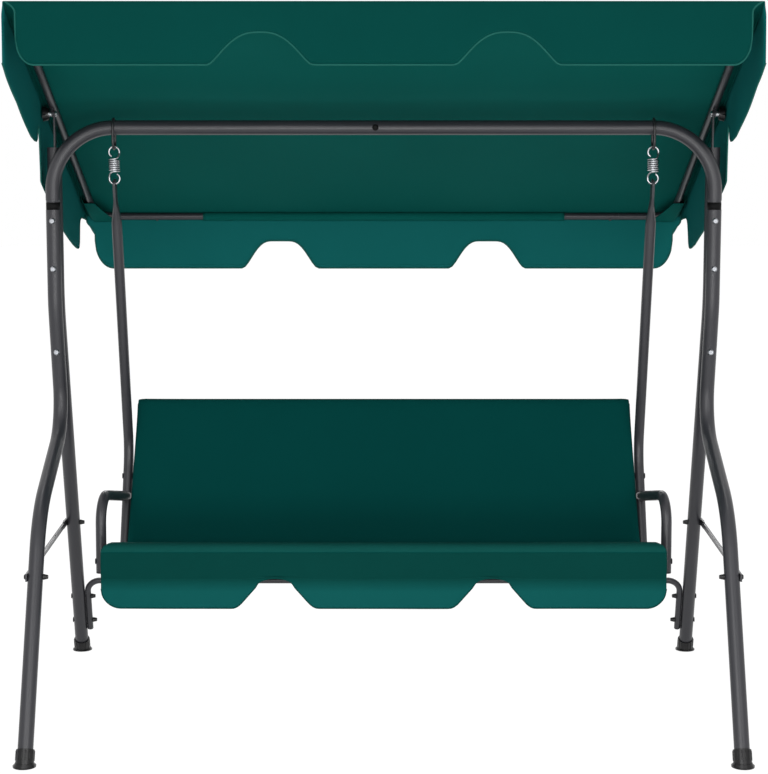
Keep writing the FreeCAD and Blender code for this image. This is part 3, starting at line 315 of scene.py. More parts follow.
def add_relief(tree, shader, height, strength, distance):
    """Fine relief on a shader's normal from a height socket."""
    relief = new_node(tree, "ShaderNodeBump", Strength=strength, Distance=distance)
    tree.links.new(height, relief.inputs["Height"])
    tree.links.new(relief.outputs["Normal"], shader.inputs["Normal"])


def give_finish(piece, finish):
    """Put one finish on a whole piece."""
    piece.data.materials.clear()
    piece.data.materials.append(finish)


# %% Rigid finishes
SKIN_HEIGHT = 0.0004


def moulded_finish(name, dark, light, gloss, spread, grain, bump, metallic=0.0, specular=0.5):
    """Paint, plastic or zinc: two tones, grain and a gloss that changes a little."""
    finish, tree, shader = new_finish(name, specular)
    shader.inputs["Metallic"].default_value = metallic
    place = tree.nodes.new("ShaderNodeTexCoord")
    group = placed_group(tree, skin, place.outputs["Object"], Grain=grain, Gloss=gloss, Spread=spread)
    tree.links.new(mixed_colour(tree, group.outputs["Tone"], dark, light), shader.inputs["Base Color"])
    tree.links.new(group.outputs["Roughness"], shader.inputs["Roughness"])
    add_relief(tree, shader, group.outputs["Height"], bump, SKIN_HEIGHT)
    return finish


powder_coat = moulded_finish(
    "powder_coat", (0.021, 0.021, 0.025, 1), (0.029, 0.029, 0.034, 1), 0.36, 0.12, 650, 0.25, specular=0.42)
black_moulding = moulded_finish(
    "black_moulding", (0.003, 0.003, 0.0033, 1), (0.006, 0.006, 0.0065, 1), 0.30, 0.2, 420, 0.15,
    specular=0.3)
bright_zinc = moulded_finish(
    "bright_zinc", (0.42, 0.43, 0.45, 1), (0.53, 0.54, 0.56, 1), 0.30, 0.15, 900, 0.1, metallic=1.0)
dark_wire = moulded_finish(
    "dark_wire", (0.008, 0.008, 0.009, 1), (0.014, 0.014, 0.016, 1), 0.38, 0.1, 700, 0.2)
matte_black = moulded_finish(
    "matte_black", (0.002, 0.002, 0.0022, 1), (0.004, 0.004, 0.0043, 1), 0.66, 0.1, 420, 0.15,
    specular=0.12)
dull_zinc = moulded_finish(
    "dull_zinc", (0.26, 0.27, 0.29, 1), (0.34, 0.35, 0.37, 1), 0.42, 0.15, 900, 0.2, metallic=1.0)

# %% Finishes of the solids
slot_finish = {"frame_paint": powder_coat, "black_plastic": black_moulding, "zinc_steel": bright_zinc}
for part_row in frame["record"]["subparts"]:
    if part_row["material_slot"] in slot_finish:
        give_finish(nodes[part_row["node"]], slot_finish[part_row["material_slot"]])
for finish, names in (
        (dark_wire, ("hanger_ring_left", "hanger_ring_right")),
        (matte_black, ("beam_joint_bolt",)),
        (dull_zinc, ("leg_bolts",)),
        (black_moulding, ("brace_bolts",)),
        (powder_coat, ("seat_nuts", "canopy_screws"))):
    for name in names:
        give_finish(nodes[name], finish)
print("rigid finishes set")

# %% [markdown]
# ## Cloth sheets
# The roof and the valances are cut cloth with sewn hems. A cloth simulation of such large taut
# sheets changes little, so each one starts as a grid and every point is placed by two shares: how
# far along the sheet it is and how far down. That gives exact hems and soft waves in one step.
# The map is set in metres, so the weave has the same scale on every sheet.

# %% Sheet helpers
SHEET_THICKNESS = 0.0014


def applied(piece, name, kind, **values):
    """Add a modifier with its values to the active piece and apply it."""
    modifier = piece.modifiers.new(name, kind)
    for label, value in values.items():
        setattr(modifier, label, value)
    bpy.ops.object.modifier_apply(modifier=modifier.name)


def cloth_sheet(name, across, down, size, place):
    """Grid of a number of columns and rows whose points are placed by place(s, t)."""
    clear_selection()
    bpy.ops.mesh.primitive_grid_add(x_subdivisions=across, y_subdivisions=down, size=2)
    sheet = newest(name)
    for layer in sheet.data.uv_layers:
        for item in layer.data:
            item.uv = (item.uv[0] * size[0], item.uv[1] * size[1])
    for vertex in sheet.data.vertices:
        s = (vertex.co.x + 1) / 2
        t = (1 - vertex.co.y) / 2
        vertex.co = place(s, t)
    bpy.ops.object.shade_smooth()
    applied(sheet, "thickness", "SOLIDIFY", thickness=SHEET_THICKNESS, offset=0, use_even_offset=False)
    print("sheet", name, len(sheet.data.polygons), "faces")
    return sheet


def sheet_area(across, down, place):
    """Area of a placed grid in square metres."""
    total = 0.0
    for i in range(across):
        for j in range(down):
            corners = [place((i + a) / across, (j + b) / down) for a, b in ((0, 0), (1, 0), (1, 1), (0, 1))]
            total += (corners[2] - corners[0]).cross(corners[3] - corners[1]).length / 2
    return total


def smooth_step(low, high, value):
    """Soft rise from 0 to 1 between two values."""
    share = min(1.0, max(0.0, (value - low) / (high - low)))
    return share * share * (3 - 2 * share)


# %% [markdown]
# ## Canopy roof
# The roof is stretched over the tube frame and sags a little between the tubes. It could stay a
# flat plate, but daylight grazing over it would show that, so the sag grows from the tubes to the
# middle and faint tension folds run over it. Its front edge rolls up over the front tube.

# %% Canopy roof
TILT = math.radians(23.75)
SLOPE_DOWN = Vector((0, math.cos(TILT), -math.sin(TILT)))
SLOPE_UP = Vector((0, math.sin(TILT), math.cos(TILT)))
LUG_DROP = 0.019
ROOF_LIFT = 0.0106
ROOF_HALF = 0.829
ROOF_FRONT = -0.5085
ROOF_REAR = 0.7365
ROOF_SAG = 0.010
ROOF_FOLD = 0.004
FRONT_ROLL = 0.005
ROLL_SHARE = 0.05


def on_canopy(x, u, lift):
    """Point of the canopy: side offset, distance down the slope, lift above the tubes' axes."""
    return PIVOT + Vector((x, 0, 0)) + SLOPE_DOWN * u + SLOPE_UP * (LUG_DROP + lift)


def roof_point(s, t):
    x = (2 * s - 1) * ROOF_HALF
    u = ROOF_FRONT + (ROOF_REAR - ROOF_FRONT) * t
    middle = (1 - abs(2 * s - 1) ** 3) * (1 - abs(2 * t - 1) ** 4)
    fold = noise.noise(Vector((x * 2.2, u * 3.1, 0.3))) * ROOF_FOLD * middle
    edge = FRONT_ROLL * (1 - smooth_step(0.0, ROLL_SHARE, t))
    return on_canopy(x, u, ROOF_LIFT - ROOF_SAG * middle + fold + edge)


roof = cloth_sheet("roof_cloth_painted_light", 96, 64, (2 * ROOF_HALF, ROOF_REAR - ROOF_FRONT), roof_point)

# %% [markdown]
# ## Front and rear valances
# Each valance hangs from the roof's edge and has two cut scallops and rounded ends. The hem could
# be cut with a boolean, but placing the columns by a hem height keeps clean rows of faces that
# follow the hem, which the piping can follow too.


# %% Hem helpers
def scalloped(x, middle, mouth, plateau, rise, foot=1.5):
    """Height that two mirrored scallops add to a hem: a round arch with soft feet."""
    offset = max(0.0, abs(abs(x) - middle) - plateau) / (mouth - plateau)
    if offset >= 1:
        return 0.0
    return rise * (1 - offset ** 2.6) ** foot


def end_share(s, bunch=0.55):
    """Columns crowd towards both ends, where the corners are round."""
    c = 2 * s - 1
    return c * (1 - bunch) + bunch * math.sin(c * math.pi / 2)


def corner_rise(distance, width, height):
    """Height of an elliptic corner at a distance from the end."""
    if distance >= width:
        return 0.0
    share = 1 - distance / width
    return height * (1 - math.sqrt(max(0.0, 1 - share * share)))


# %% Front valance
FRONT_EDGE = on_canopy(0, ROOF_FRONT, ROOF_LIFT)
FRONT_TOP = on_canopy(0, ROOF_FRONT, ROOF_LIFT + FRONT_ROLL)
FRONT_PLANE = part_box("front_valance")[1].y
FRONT_HALF = 0.803
FRONT_DROP = 0.1356
FRONT_SCALLOP = (0.2706, 0.114, 0.0, 0.0705)
FRONT_CORNER = (0.038, 0.056)
FRONT_SPREAD = 0.021
FRONT_WAVE = 0.004
FRONT_BELLY = 0.004
END_POWER = 30


def front_hem(x):
    return (FRONT_TOP.z - FRONT_DROP
            + scalloped(x, *FRONT_SCALLOP)
            + corner_rise(FRONT_HALF - abs(x), *FRONT_CORNER))


def front_point(s, t):
    x = end_share(s) * FRONT_HALF
    z = FRONT_TOP.z + (front_hem(x) - FRONT_TOP.z) * t
    flare = FRONT_SPREAD * (abs(x) / FRONT_HALF) ** END_POWER * max(0.0, 1 - t / 0.3) ** 2
    wave = FRONT_WAVE * noise.noise(Vector((x * 4.5, 1.7, z * 2.0))) * t
    belly = -FRONT_BELLY * math.sin(math.pi * t)
    return Vector((x + math.copysign(flare, x), FRONT_PLANE + wave + belly, z))


front_valance = cloth_sheet("front_valance_cloth", 180, 14, (2 * FRONT_HALF, FRONT_DROP), front_point)

# %% Rear valance
REAR_TOP = on_canopy(0, ROOF_REAR, ROOF_LIFT)
REAR_PLANE = REAR_TOP.y + 0.001
REAR_HALF = 0.806
REAR_DROP = 0.1495
REAR_SCALLOP = (0.2894, 0.107, 0.022, 0.0761, 1.9)
REAR_CORNER = (0.050, 0.076)
REAR_WAVE = 0.005


def rear_hem(x):
    return (REAR_TOP.z - REAR_DROP
            + scalloped(x, *REAR_SCALLOP)
            + corner_rise(REAR_HALF - abs(x), *REAR_CORNER))


def rear_point(s, t):
    x = end_share(s) * REAR_HALF
    z = REAR_TOP.z + (rear_hem(x) - REAR_TOP.z) * t
    spread = (ROOF_HALF - REAR_HALF) * (1 - smooth_step(0.25, 0.70, t))
    flare = spread * (abs(x) / REAR_HALF) ** END_POWER
    wave = REAR_WAVE * noise.noise(Vector((x * 4.0, 5.2, z * 2.0))) * t
    return Vector((x + math.copysign(flare, x), REAR_PLANE + abs(wave), z))


rear_valance = cloth_sheet("rear_valance_cloth", 180, 14, (2 * REAR_HALF, REAR_DROP), rear_point)

# %% [markdown]
# ## Side valances
# Each side valance is one strip along the sloping roof edge with two lobes and a slit between them.
# The lobes could be arcs, but the cut has straight runs and tight bends, so its hem is a short list
# of depths behind the beam and drops below the roof, closer together where the cut turns.

# %% Side valances
SIDE_PLANE = ROOF_HALF + 0.001
SIDE_FRONT = FRONT_EDGE.y
SIDE_REAR = REAR_TOP.y
SIDE_FLARE = 0.003
SIDE_WAVE = 0.004
SIDE_HEM = [
    (-0.419, 0.133), (-0.260, 0.1435), (-0.105, 0.147), (-0.060, 0.138), (-0.038, 0.130), (-0.026, 0.119),
    (-0.016, 0.092), (-0.006, 0.079), (0.004, 0.082), (0.009, 0.110), (0.013, 0.205), (0.060, 0.206),
    (0.120, 0.203), (0.350, 0.195), (0.480, 0.176), (0.545, 0.161), (0.566, 0.154), (0.578, 0.147),
    (0.588, 0.130), (0.596, 0.0945), (0.602, 0.074), (0.610, 0.061), (0.620, 0.0525), (0.636, 0.043),
    (0.660, 0.035), (0.690, 0.024), (0.720, 0.015),
]


def side_point(side, s, t):
    position = s * (len(SIDE_HEM) - 1)
    index = min(int(position), len(SIDE_HEM) - 2)
    share = position - index
    (near_depth, near_drop), (far_depth, far_drop) = SIDE_HEM[index:index + 2]
    depth = near_depth + (far_depth - near_depth) * share
    drop = (near_drop + (far_drop - near_drop) * share) * t
    y = min(max(BEAM.y + depth, SIDE_FRONT), SIDE_REAR)
    raised = FRONT_ROLL * (1 - smooth_step(0.0, ROLL_SHARE, (y - SIDE_FRONT) / (SIDE_REAR - SIDE_FRONT)))
    top = FRONT_EDGE.z - (y - SIDE_FRONT) * math.tan(TILT) + raised
    flare = SIDE_FLARE * (1 - smooth_step(-0.42, -0.10, depth)) * smooth_step(0.0, 0.25, t)
    wave = SIDE_WAVE * noise.noise(Vector((y * 5.0, side * 3.0, drop * 4.0))) * t
    return Vector((side * (SIDE_PLANE + flare + abs(wave)), y, top - drop))


side_valances = {}
for name, side in SIDES:
    side_valances[name] = cloth_sheet(
        f"side_valance_cloth_{name}", 136, 16, (1.24, 0.2), partial(side_point, side))

# %% [markdown]
# ## Rear sleeve and corner pockets
# The roof is sewn round the rear tube in its middle part, and a pocket at each rear corner takes
# the tube's bend. Both could be folds of the roof itself, but they end before its edges do, so the
# sleeve is its own sheet wrapped round the tube's axis, open on top where the roof covers it, and
# each pocket is a narrow sheet under the bend.

# %% Rear sleeve
REAR_AXIS_U = 0.725
SLEEVE_HALF = 0.502
SLEEVE_R = 0.0113
SLEEVE_OPEN = 40
SLEEVE_WRAP = 280


def sleeve_point(s, t):
    x = (2 * s - 1) * SLEEVE_HALF
    angle = math.radians(SLEEVE_OPEN + SLEEVE_WRAP * t)
    radius = SLEEVE_R + 0.0007 * noise.noise(Vector((x * 9.0, t * 4.0, 2.2)))
    return on_canopy(x, REAR_AXIS_U + radius * math.sin(angle), radius * math.cos(angle))


rear_sleeve = cloth_sheet("rear_sleeve_cloth", 100, 18, (2 * SLEEVE_HALF, 0.055), sleeve_point)

# %% Corner pockets
POCKET_INNER = 0.788
POCKET_TAPER = 0.046
POCKET_OUTER = 0.8268
POCKET_START = 0.600
POCKET_LENGTH = 0.1345
POCKET_LIFT = -0.0118
POCKET_EDGE = 0.020
POCKET_BELLY = 0.002


def pocket_point(side, s, t):
    inner = POCKET_INNER - POCKET_TAPER * t
    x = inner + (POCKET_OUTER - inner) * s
    u = POCKET_START + POCKET_LENGTH * t
    lift = POCKET_LIFT + POCKET_EDGE * smooth_step(0.72, 1.0, s) - POCKET_BELLY * math.sin(math.pi * t)
    return on_canopy(side * x, u, lift)


pockets = {}
for name, side in SIDES:
    pockets[name] = cloth_sheet(f"corner_pocket_{name}", 16, 24, (0.06, 0.14), partial(pocket_point, side))

# %% [markdown]
# ## Seat pad and back pad
# Each pad is foam in a sewn cover. A box with rounded edges would look like a plank, so the box is
# remeshed into even faces and inflated by a short cloth simulation with pressure and no gravity.
# The move is capped, and the underside stays flat where it rests on the sling or the frame.

# %% Inflating a pad
PAD_STEPS = 20
PAD_CAP = 0.004
COVER = {
    "use_pressure": True, "quality": 5, "tension_stiffness": 12, "compression_stiffness": 12,
    "shear_stiffness": 5, "bending_stiffness": 0.4,
}


def inflate(pad, pressure):
    """Swell a closed mesh by a pressure simulation and cap how far each point moves."""
    before = [vertex.co.copy() for vertex in pad.data.vertices]
    cloth = pad.modifiers.new("inflate", "CLOTH")
    for label, value in COVER.items():
        setattr(cloth.settings, label, value)
    cloth.settings.uniform_pressure_force = pressure
    cloth.settings.effector_weights.gravity = 0
    cloth.point_cache.frame_start = 1
    cloth.point_cache.frame_end = PAD_STEPS
    for step in range(1, PAD_STEPS + 1):
        bpy.context.scene.frame_set(step)
    bpy.context.view_layer.objects.active = pad
    bpy.ops.object.modifier_apply(modifier=cloth.name)
    bpy.context.scene.frame_set(1)
    farthest = 0.0
    for vertex, start in zip(pad.data.vertices, before):
        move = vertex.co - start
        if move.length > PAD_CAP:
            vertex.co = start + move.normalized() * PAD_CAP
        farthest = max(farthest, (vertex.co - start).length)
    return farthest


# %% Sewing a pad
PAD_VOXEL = 0.007


def sewn_pad(name, half_width, start, end, base, top, edge, pressure, form, matrix):
    """Cushion from a box, and its points before it is set in its place."""
    clear_selection()
    bpy.ops.mesh.primitive_cube_add(size=1)
    pad = newest(name)
    bpy.ops.object.mode_set(mode="EDIT")
    bpy.ops.mesh.select_all(action="SELECT")
    bpy.ops.transform.resize(value=(2 * half_width, end - start, top - base))
    bpy.ops.transform.translate(value=(0, (start + end) / 2, (base + top) / 2))
    bpy.ops.mesh.bevel(offset=edge, segments=4, affect="EDGES")
    bpy.ops.object.mode_set(mode="OBJECT")
    applied(pad, "even_faces", "REMESH", mode="VOXEL", voxel_size=PAD_VOXEL)
    moved = inflate(pad, pressure)
    for vertex in pad.data.vertices:
        vertex.co.z = max(vertex.co.z, base)
    applied(pad, "calm", "SMOOTH", factor=0.5, iterations=3)
    for vertex in pad.data.vertices:
        vertex.co = form(vertex.co.copy())
    shape = [vertex.co.copy() for vertex in pad.data.vertices]
    pad.data.transform(matrix)
    bpy.ops.object.shade_smooth()
    print("pad", name, len(pad.data.polygons), "faces, swelled", round(moved * 1000, 1), "mm")
    return pad, shape


# %% Places and shapes of the pads
SEAT_SLOPE = 0.171
SEAT_LENGTH = 0.3155
SEAT_BASE = 0.0134
SEAT_THINNING = 0.42
BACK_SLOPE = 0.4756
BACK_DROP = 1.052
BACK_LENGTH = 0.3958
BACK_TAPER = 0.0205


def pad_frame(depth, drop, along, up):
    """Matrix from a pad's own axes (width, length, thickness) to its place."""
    columns = (Vector((1, 0, 0)), along, up, Vector((0, BEAM.y + depth, BEAM.z - drop)))
    return Matrix([[column[row] for column in columns] for row in range(3)] + [[0, 0, 0, 1]])


def seat_wedge(point):
    """The seat's foam is thinner towards the back."""
    share = min(1.0, max(0.0, (point.y + 0.02) / SEAT_LENGTH))
    point.z = SEAT_BASE + (point.z - SEAT_BASE) * (1 - SEAT_THINNING * share)
    return point


def back_taper(point):
    """The back's cover is a little wider at its foot, where it spreads over the uprights."""
    point.x *= 1 + BACK_TAPER * (1 - point.y / BACK_LENGTH)
    return point


sine, cosine = (turn(math.atan(SEAT_SLOPE)) for turn in (math.sin, math.cos))
SEAT_FRAME = pad_frame(-0.255, 1.012, Vector((0, cosine, -sine)), Vector((0, sine, cosine)))
sine, cosine = (turn(math.atan(BACK_SLOPE)) for turn in (math.sin, math.cos))
BACK_DEPTH = 0.0546 + BACK_SLOPE * (1.087 - BACK_DROP)
BACK_FRAME = pad_frame(BACK_DEPTH, BACK_DROP, Vector((0, sine, cosine)), Vector((0, -cosine, sine)))

# %% Seat and back pads
seat_pad, _ = sewn_pad(
    "seat_cushion", half_width=0.650, start=-0.024, end=SEAT_LENGTH, base=SEAT_BASE, top=0.0424,
    edge=0.013, pressure=3.0, form=seat_wedge, matrix=SEAT_FRAME)
back_pad, back_shape = sewn_pad(
    "back_cushion", half_width=0.6312, start=0.0, end=BACK_LENGTH, base=0.0100, top=0.0310,
    edge=0.005, pressure=2.5, form=back_taper, matrix=BACK_FRAME)

# %% [markdown]
# ## Seat front
# The cover's front is one cloth piece: a roll over the seat's front tube, a padded band, a sewn
# line, and a loose valance with two cut-outs. It could be three sheets, but one grid keeps the
# seams closed, so it is placed like the canopy's valances, with the band bulging and the sewn line
# drawn in. Each row of the roll has its share down the cloth, its distance behind the front, its
# height, and how far its ends draw in.

# %% Seat front sizes
SEAT_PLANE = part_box("seat_valance")[0].y + 0.0004
SEAT_HEM = BEAM.z - 1.1145
SEAT_SEAM = BEAM.z - 1.0405
SEAT_CORNER = 0.046
SEAT_FRONT_HALF = 0.6595
SEAT_CUT = (0.2535, 0.1014, 0.0425, 0.0536, 0.0180)
CUT_FOOT = 0.4
ROLL = [
    (0.00, 0.066, 0.4395, 0.026), (0.08, 0.040, 0.4470, 0.022), (0.16, 0.022, 0.4486, 0.017),
    (0.22, 0.010, 0.4455, 0.008), (0.27, 0.003, 0.4390, 0.002), (11 / 36, 0.0022, 0.4310, 0.000),
]
ROLL_END, ROLL_BACK, ROLL_FOOT, _ = ROLL[-1]
BAND_END = 22 / 36
BAND_BULGE = 0.0034
SEAT_SWAY = 0.003
SEAT_DENT = 0.002


def along_rows(rows, value):
    """Straight interpolation between rows by their first column."""
    for near, far in zip(rows, rows[1:]):
        if value <= far[0]:
            share = (value - near[0]) / (far[0] - near[0])
            return [a + (b - a) * share for a, b in zip(near[1:], far[1:])]
    return rows[-1][1:]


def cut_out(x, middle, mouth, plateau, rise, arch):
    """Two mirrored cut-outs with round feet, straight flanks and a slightly arched top."""
    offset = abs(abs(x) - middle)
    share = min(1.0, max(0.0, (mouth - offset) / (mouth - plateau)))
    ramp = share * share / (2 * CUT_FOOT) if share < CUT_FOOT else share - CUT_FOOT / 2
    bow = math.sqrt(max(0.0, 1 - (offset / plateau) ** 2))
    return rise * ramp / (1 - CUT_FOOT / 2) + arch * bow


# %% Seat front cloth
def seat_hem(x):
    return SEAT_HEM + cut_out(x, *SEAT_CUT) + corner_rise(SEAT_FRONT_HALF - abs(x), SEAT_CORNER, SEAT_CORNER)


def roll_point(x, t):
    back, z, draw = along_rows(ROLL, t)
    x *= 1 - draw / SEAT_FRONT_HALF * (abs(x) / SEAT_FRONT_HALF) ** 24
    dent = SEAT_DENT * noise.noise(Vector((x * 3.1, 2.0, t * 3.0)))
    return Vector((x, SEAT_PLANE + back, z + dent * smooth_step(0.25, 0.1, t)))


def band_point(x, down):
    back = ROLL_BACK * (1 - down) - BAND_BULGE * math.sin(math.pi * down)
    return Vector((x, SEAT_PLANE + back, ROLL_FOOT + (SEAT_SEAM - ROLL_FOOT) * down))


def skirt_point(x, down):
    low = min(seat_hem(x), SEAT_SEAM - 0.0012)
    sway = SEAT_SWAY * noise.noise(Vector((x * 5.5, 9.1, 0.4))) * down
    back = 0.0006 - 0.0012 * math.sin(math.pi * down) + sway
    return Vector((x, SEAT_PLANE + back, SEAT_SEAM + (low - SEAT_SEAM) * down))


def seat_front_point(s, t):
    x = end_share(s) * SEAT_FRONT_HALF
    if t < ROLL_END:
        return roll_point(x, t)
    if t < BAND_END:
        return band_point(x, (t - ROLL_END) / (BAND_END - ROLL_END))
    return skirt_point(x, (t - BAND_END) / (1 - BAND_END))


seat_front = cloth_sheet("seat_front_cloth", 170, 36, (2 * SEAT_FRONT_HALF, 0.20), seat_front_point)

# %% [markdown]
# ## Piping
# Every hem is bound with a thin round cord in the same cloth, which catches the light. It could be
# a bevel of the sheet's rim, but a round curve along the sheet's own edge follows it exactly and
# is then made a mesh.


# %% Piping helpers
def round_curve(name, radius, rings):
    """Empty curve with a round section and closed ends."""
    line = bpy.data.curves.new(name, "CURVE")
    line.dimensions = "3D"
    line.bevel_depth = radius
    line.bevel_resolution = rings
    line.use_fill_caps = True
    return line


def add_run(line, points):
    """Straight-sided run of a curve through points."""
    spline = line.splines.new("POLY")
    spline.points.add(len(points) - 1)
    for item, point in zip(spline.points, points):
        item.co = (*point, 1)


def curve_mesh(name, line):
    """Object of a curve, made a mesh."""
    clear_selection()
    piece = bpy.data.objects.new(name, line)
    bpy.context.scene.collection.objects.link(piece)
    bpy.context.view_layer.objects.active = piece
    piece.select_set(True)
    bpy.ops.object.convert(target="MESH")
    return piece


def piping(name, points, radius):
    """Round cord along a list of points, as a mesh."""
    line = round_curve(name, radius, 2)
    add_run(line, points)
    cord = curve_mesh(name, line)
    bpy.ops.object.shade_smooth()
    print("piping", name, len(cord.data.polygons), "faces")
    return cord


def row_of(place, count):
    """Evenly shared points of place(share), both ends included."""
    return [place(i / count) for i in range(count + 1)]


# %% Piping of the canopy and the seat front
PIPING_R = 0.0021
ROOF_PIPING_R = 0.0019
SEAT_PIPING_R = 0.0018


def edge_walk(place, count=220, ends=14):
    """Points down one end of a sheet, along its hem and up the other end."""
    walk = [place(0, i / ends) for i in range(ends)]
    walk += [place(i / count, 1) for i in range(count)]
    return walk + [place(1, 1 - i / ends) for i in range(ends + 1)]


def border_walk(place, count=60):
    """Points once round a sheet's border."""
    shares = [i / count for i in range(count)]
    walk = [place(share, 0) for share in shares]
    walk += [place(1, share) for share in shares]
    walk += [place(1 - share, 1) for share in shares]
    walk += [place(0, 1 - share) for share in shares]
    return walk + [place(0, 0)]


front_piping = piping("front_valance_piping", edge_walk(front_point), PIPING_R)
rear_piping = piping("rear_valance_piping", edge_walk(rear_point), PIPING_R)
roof_piping = piping("roof_edge_piping", border_walk(roof_point), ROOF_PIPING_R)
seat_piping = piping("seat_front_piping", row_of(lambda s: seat_front_point(s, 1), 240), SEAT_PIPING_R)
side_piping = {}
for name, side in SIDES:
    hem = row_of(lambda s: side_point(side, s, 1), 240)
    side_piping[name] = piping(f"side_valance_piping_{name}", hem, PIPING_R)

# %% Piping of the back pad
BACK_PIPING_R = 0.0022
NEAR = 0.006


def back_edge(rows=48, columns=90):
    """Line of the piping: up one side of the back pad, along its top and down the other side."""
    highest = max(point.y for point in back_shape)

    def side_at(along, side):
        near = [point for point in back_shape if abs(point.y - along) < NEAR]
        return max(near, key=lambda point: point.x * side)

    def top_at(x):
        near = [point for point in back_shape if abs(point.x - x) < NEAR]
        return max(near, key=lambda point: point.y)

    stations = [0.012 + (highest - 0.019) * i / rows for i in range(rows)]
    left = [side_at(along, -1) for along in stations]
    right = [side_at(along, 1) for along in reversed(stations)]
    reach = max(point.x for point in back_shape if point.y > highest - 2 * NEAR) - 0.004
    top = [top_at(-reach + 2 * reach * i / columns) for i in range(columns + 1)]
    return [BACK_FRAME @ point for point in left + top + right]


back_piping = piping("back_cushion_piping", back_edge(), BACK_PIPING_R)

# %% [markdown]
# ## Seams and stitches
# Two seams part the roll, the band and the loose valance, and a row of thread runs beside each hem.
# Stitches could be painted by a texture, but short round dashes of thread stay sharp when a viewer
# comes close, and one curve holds a whole row of them.

# %% Seams and stitches
THREAD_R = 0.0004
DASH = 0.6
FRONT_FACE = Vector((0, -0.0009, 0))
ROOF_FACE = SLOPE_UP * 0.0009


def stitches(name, place, count, offset):
    """Row of short thread dashes along place(share), pushed out by an offset."""
    line = round_curve(name, THREAD_R, 1)
    for index in range(count):
        add_run(line, [place(share) + offset for share in (index / count, (index + DASH) / count)])
    print("stitches", name, count)
    return curve_mesh(name, line)


def inset(s):
    """Share of a run that stops short of both corners."""
    return 0.01 + 0.98 * s


seam_top = piping("seat_seam_top", row_of(lambda s: seat_front_point(s, ROLL_END), 120), 0.0013)
seam_low = piping("seat_seam_low", row_of(lambda s: seat_front_point(s, BAND_END), 120), 0.0011)
canopy_stitches = {}
for name, place, count, offset in (
        ("front_valance", lambda s: front_point(s, 0.93), 360, FRONT_FACE),
        ("rear_valance", lambda s: rear_point(s, 0.94), 360, FRONT_FACE),
        ("roof_front", lambda s: roof_point(inset(s), 0.012), 360, ROOF_FACE),
        ("roof_rear", lambda s: roof_point(inset(s), 0.970), 360, ROOF_FACE),
        ("roof_left", lambda s: roof_point(0.010, inset(s)), 270, ROOF_FACE),
        ("roof_right", lambda s: roof_point(0.990, inset(s)), 270, ROOF_FACE)):
    canopy_stitches[name] = stitches(f"{name}_stitches", place, count, offset)
seat_stitches = stitches(
    "seat_front_stitches", lambda s: seat_front_point(s, BAND_END + 0.03), 300, FRONT_FACE)

# %% [markdown]
# ## Foot caps
# The moulded caps have upright ribs round their sleeve. They could be an array along a circle, but
# one small box with rounded edges, spun in copies round the sleeve's axis, needs no helper object.
# The ring is then turned to the leg's own line, given as toe and knee: distance from the middle,
# depth behind the beam and height.

# %% Foot cap ribs
CAP_R = 0.0208
RIBS = 14
RIB_SIZE = (0.0022, 0.0034, 0.0215)
RIB_EDGE = 0.0007
RIB_HEIGHT = 0.0235
LEG_LINES = {
    "front": (Vector((0.800, -0.536, 0)), Vector((0.800, -0.281, 0.525))),
    "rear": (Vector((0.824, 0.466, 0)), Vector((0.800, 0.0355, 0.986))),
}


def hand_over(piece, finish, body, stands_for=None):
    """Give a piece its finish and the body it rides on, and hide the node it stands for."""
    give_finish(piece, finish)
    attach(piece, body)
    if stands_for:
        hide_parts(stands_for)


def beside(side, point):
    """Place of a point given by its distance from the middle, depth behind the beam and height."""
    return Vector((side * point.x, BEAM.y + point.y, point.z))


def set_along(piece, place, way):
    """Turn a mesh's upright axis along a way and set it at a place."""
    turn = Vector((0, 0, 1)).rotation_difference(way).to_matrix().to_4x4()
    piece.data.transform(Matrix.Translation(place) @ turn)


def foot_ribs(name, toe, knee):
    clear_selection()
    bpy.ops.mesh.primitive_cube_add(size=1)
    ribs = newest(name)
    bpy.ops.object.mode_set(mode="EDIT")
    bpy.ops.mesh.select_all(action="SELECT")
    bpy.ops.transform.resize(value=RIB_SIZE)
    bpy.ops.mesh.bevel(offset=RIB_EDGE, segments=2, affect="EDGES")
    bpy.ops.transform.translate(value=(CAP_R, 0, RIB_HEIGHT))
    bpy.ops.mesh.spin(steps=RIBS, dupli=True, angle=2 * math.pi, center=(0, 0, 0), axis=(0, 0, 1))
    bpy.ops.mesh.select_all(action="SELECT")
    bpy.ops.mesh.remove_doubles(threshold=0.00001)
    bpy.ops.mesh.normals_make_consistent(inside=False)
    bpy.ops.object.mode_set(mode="OBJECT")
    set_along(ribs, toe, (knee - toe).normalized())
    bpy.ops.object.shade_smooth()
    hand_over(ribs, black_moulding, "stand")
    print("ribs", name, len(ribs.data.polygons), "faces")


for name, side in SIDES:
    for leg, line in LEG_LINES.items():
        foot_ribs(f"foot_ribs_{leg}_{name}", *(beside(side, point) for point in line))

# %% [markdown]
# ## Beam necks
# Where the beam's ends are drawn in to enter the legs, the narrow neck lies in shadow, so a thin dark
# band is put round it as painted shade. It could be a bevelled ring, but the band is thin and lies
# flush, so an open cylinder that gets a wall is enough.

# %% Beam necks
NECK_X = 0.800
NECK_DROP = 0.1880
NECK_R = 0.0169
NECK_LENGTH = 0.0175
NECK_WALL = 0.0006


def neck_shade_band(name, x):
    clear_selection()
    bpy.ops.mesh.primitive_cylinder_add(
        vertices=48, radius=NECK_R, depth=NECK_LENGTH, end_fill_type="NOTHING")
    sleeve = newest(name)
    applied(sleeve, "wall", "SOLIDIFY", thickness=NECK_WALL, offset=-1)
    bpy.ops.object.mode_set(mode="EDIT")
    bpy.ops.mesh.select_all(action="SELECT")
    bpy.ops.transform.translate(value=(x, BEAM.y, BEAM.z - NECK_DROP))
    bpy.ops.object.mode_set(mode="OBJECT")
    bpy.ops.object.shade_smooth()
    # The matte black band is painted shade in the drawn-in neck.
    hand_over(sleeve, matte_black, "stand")
    print("sleeve", name, len(sleeve.data.polygons), "faces")


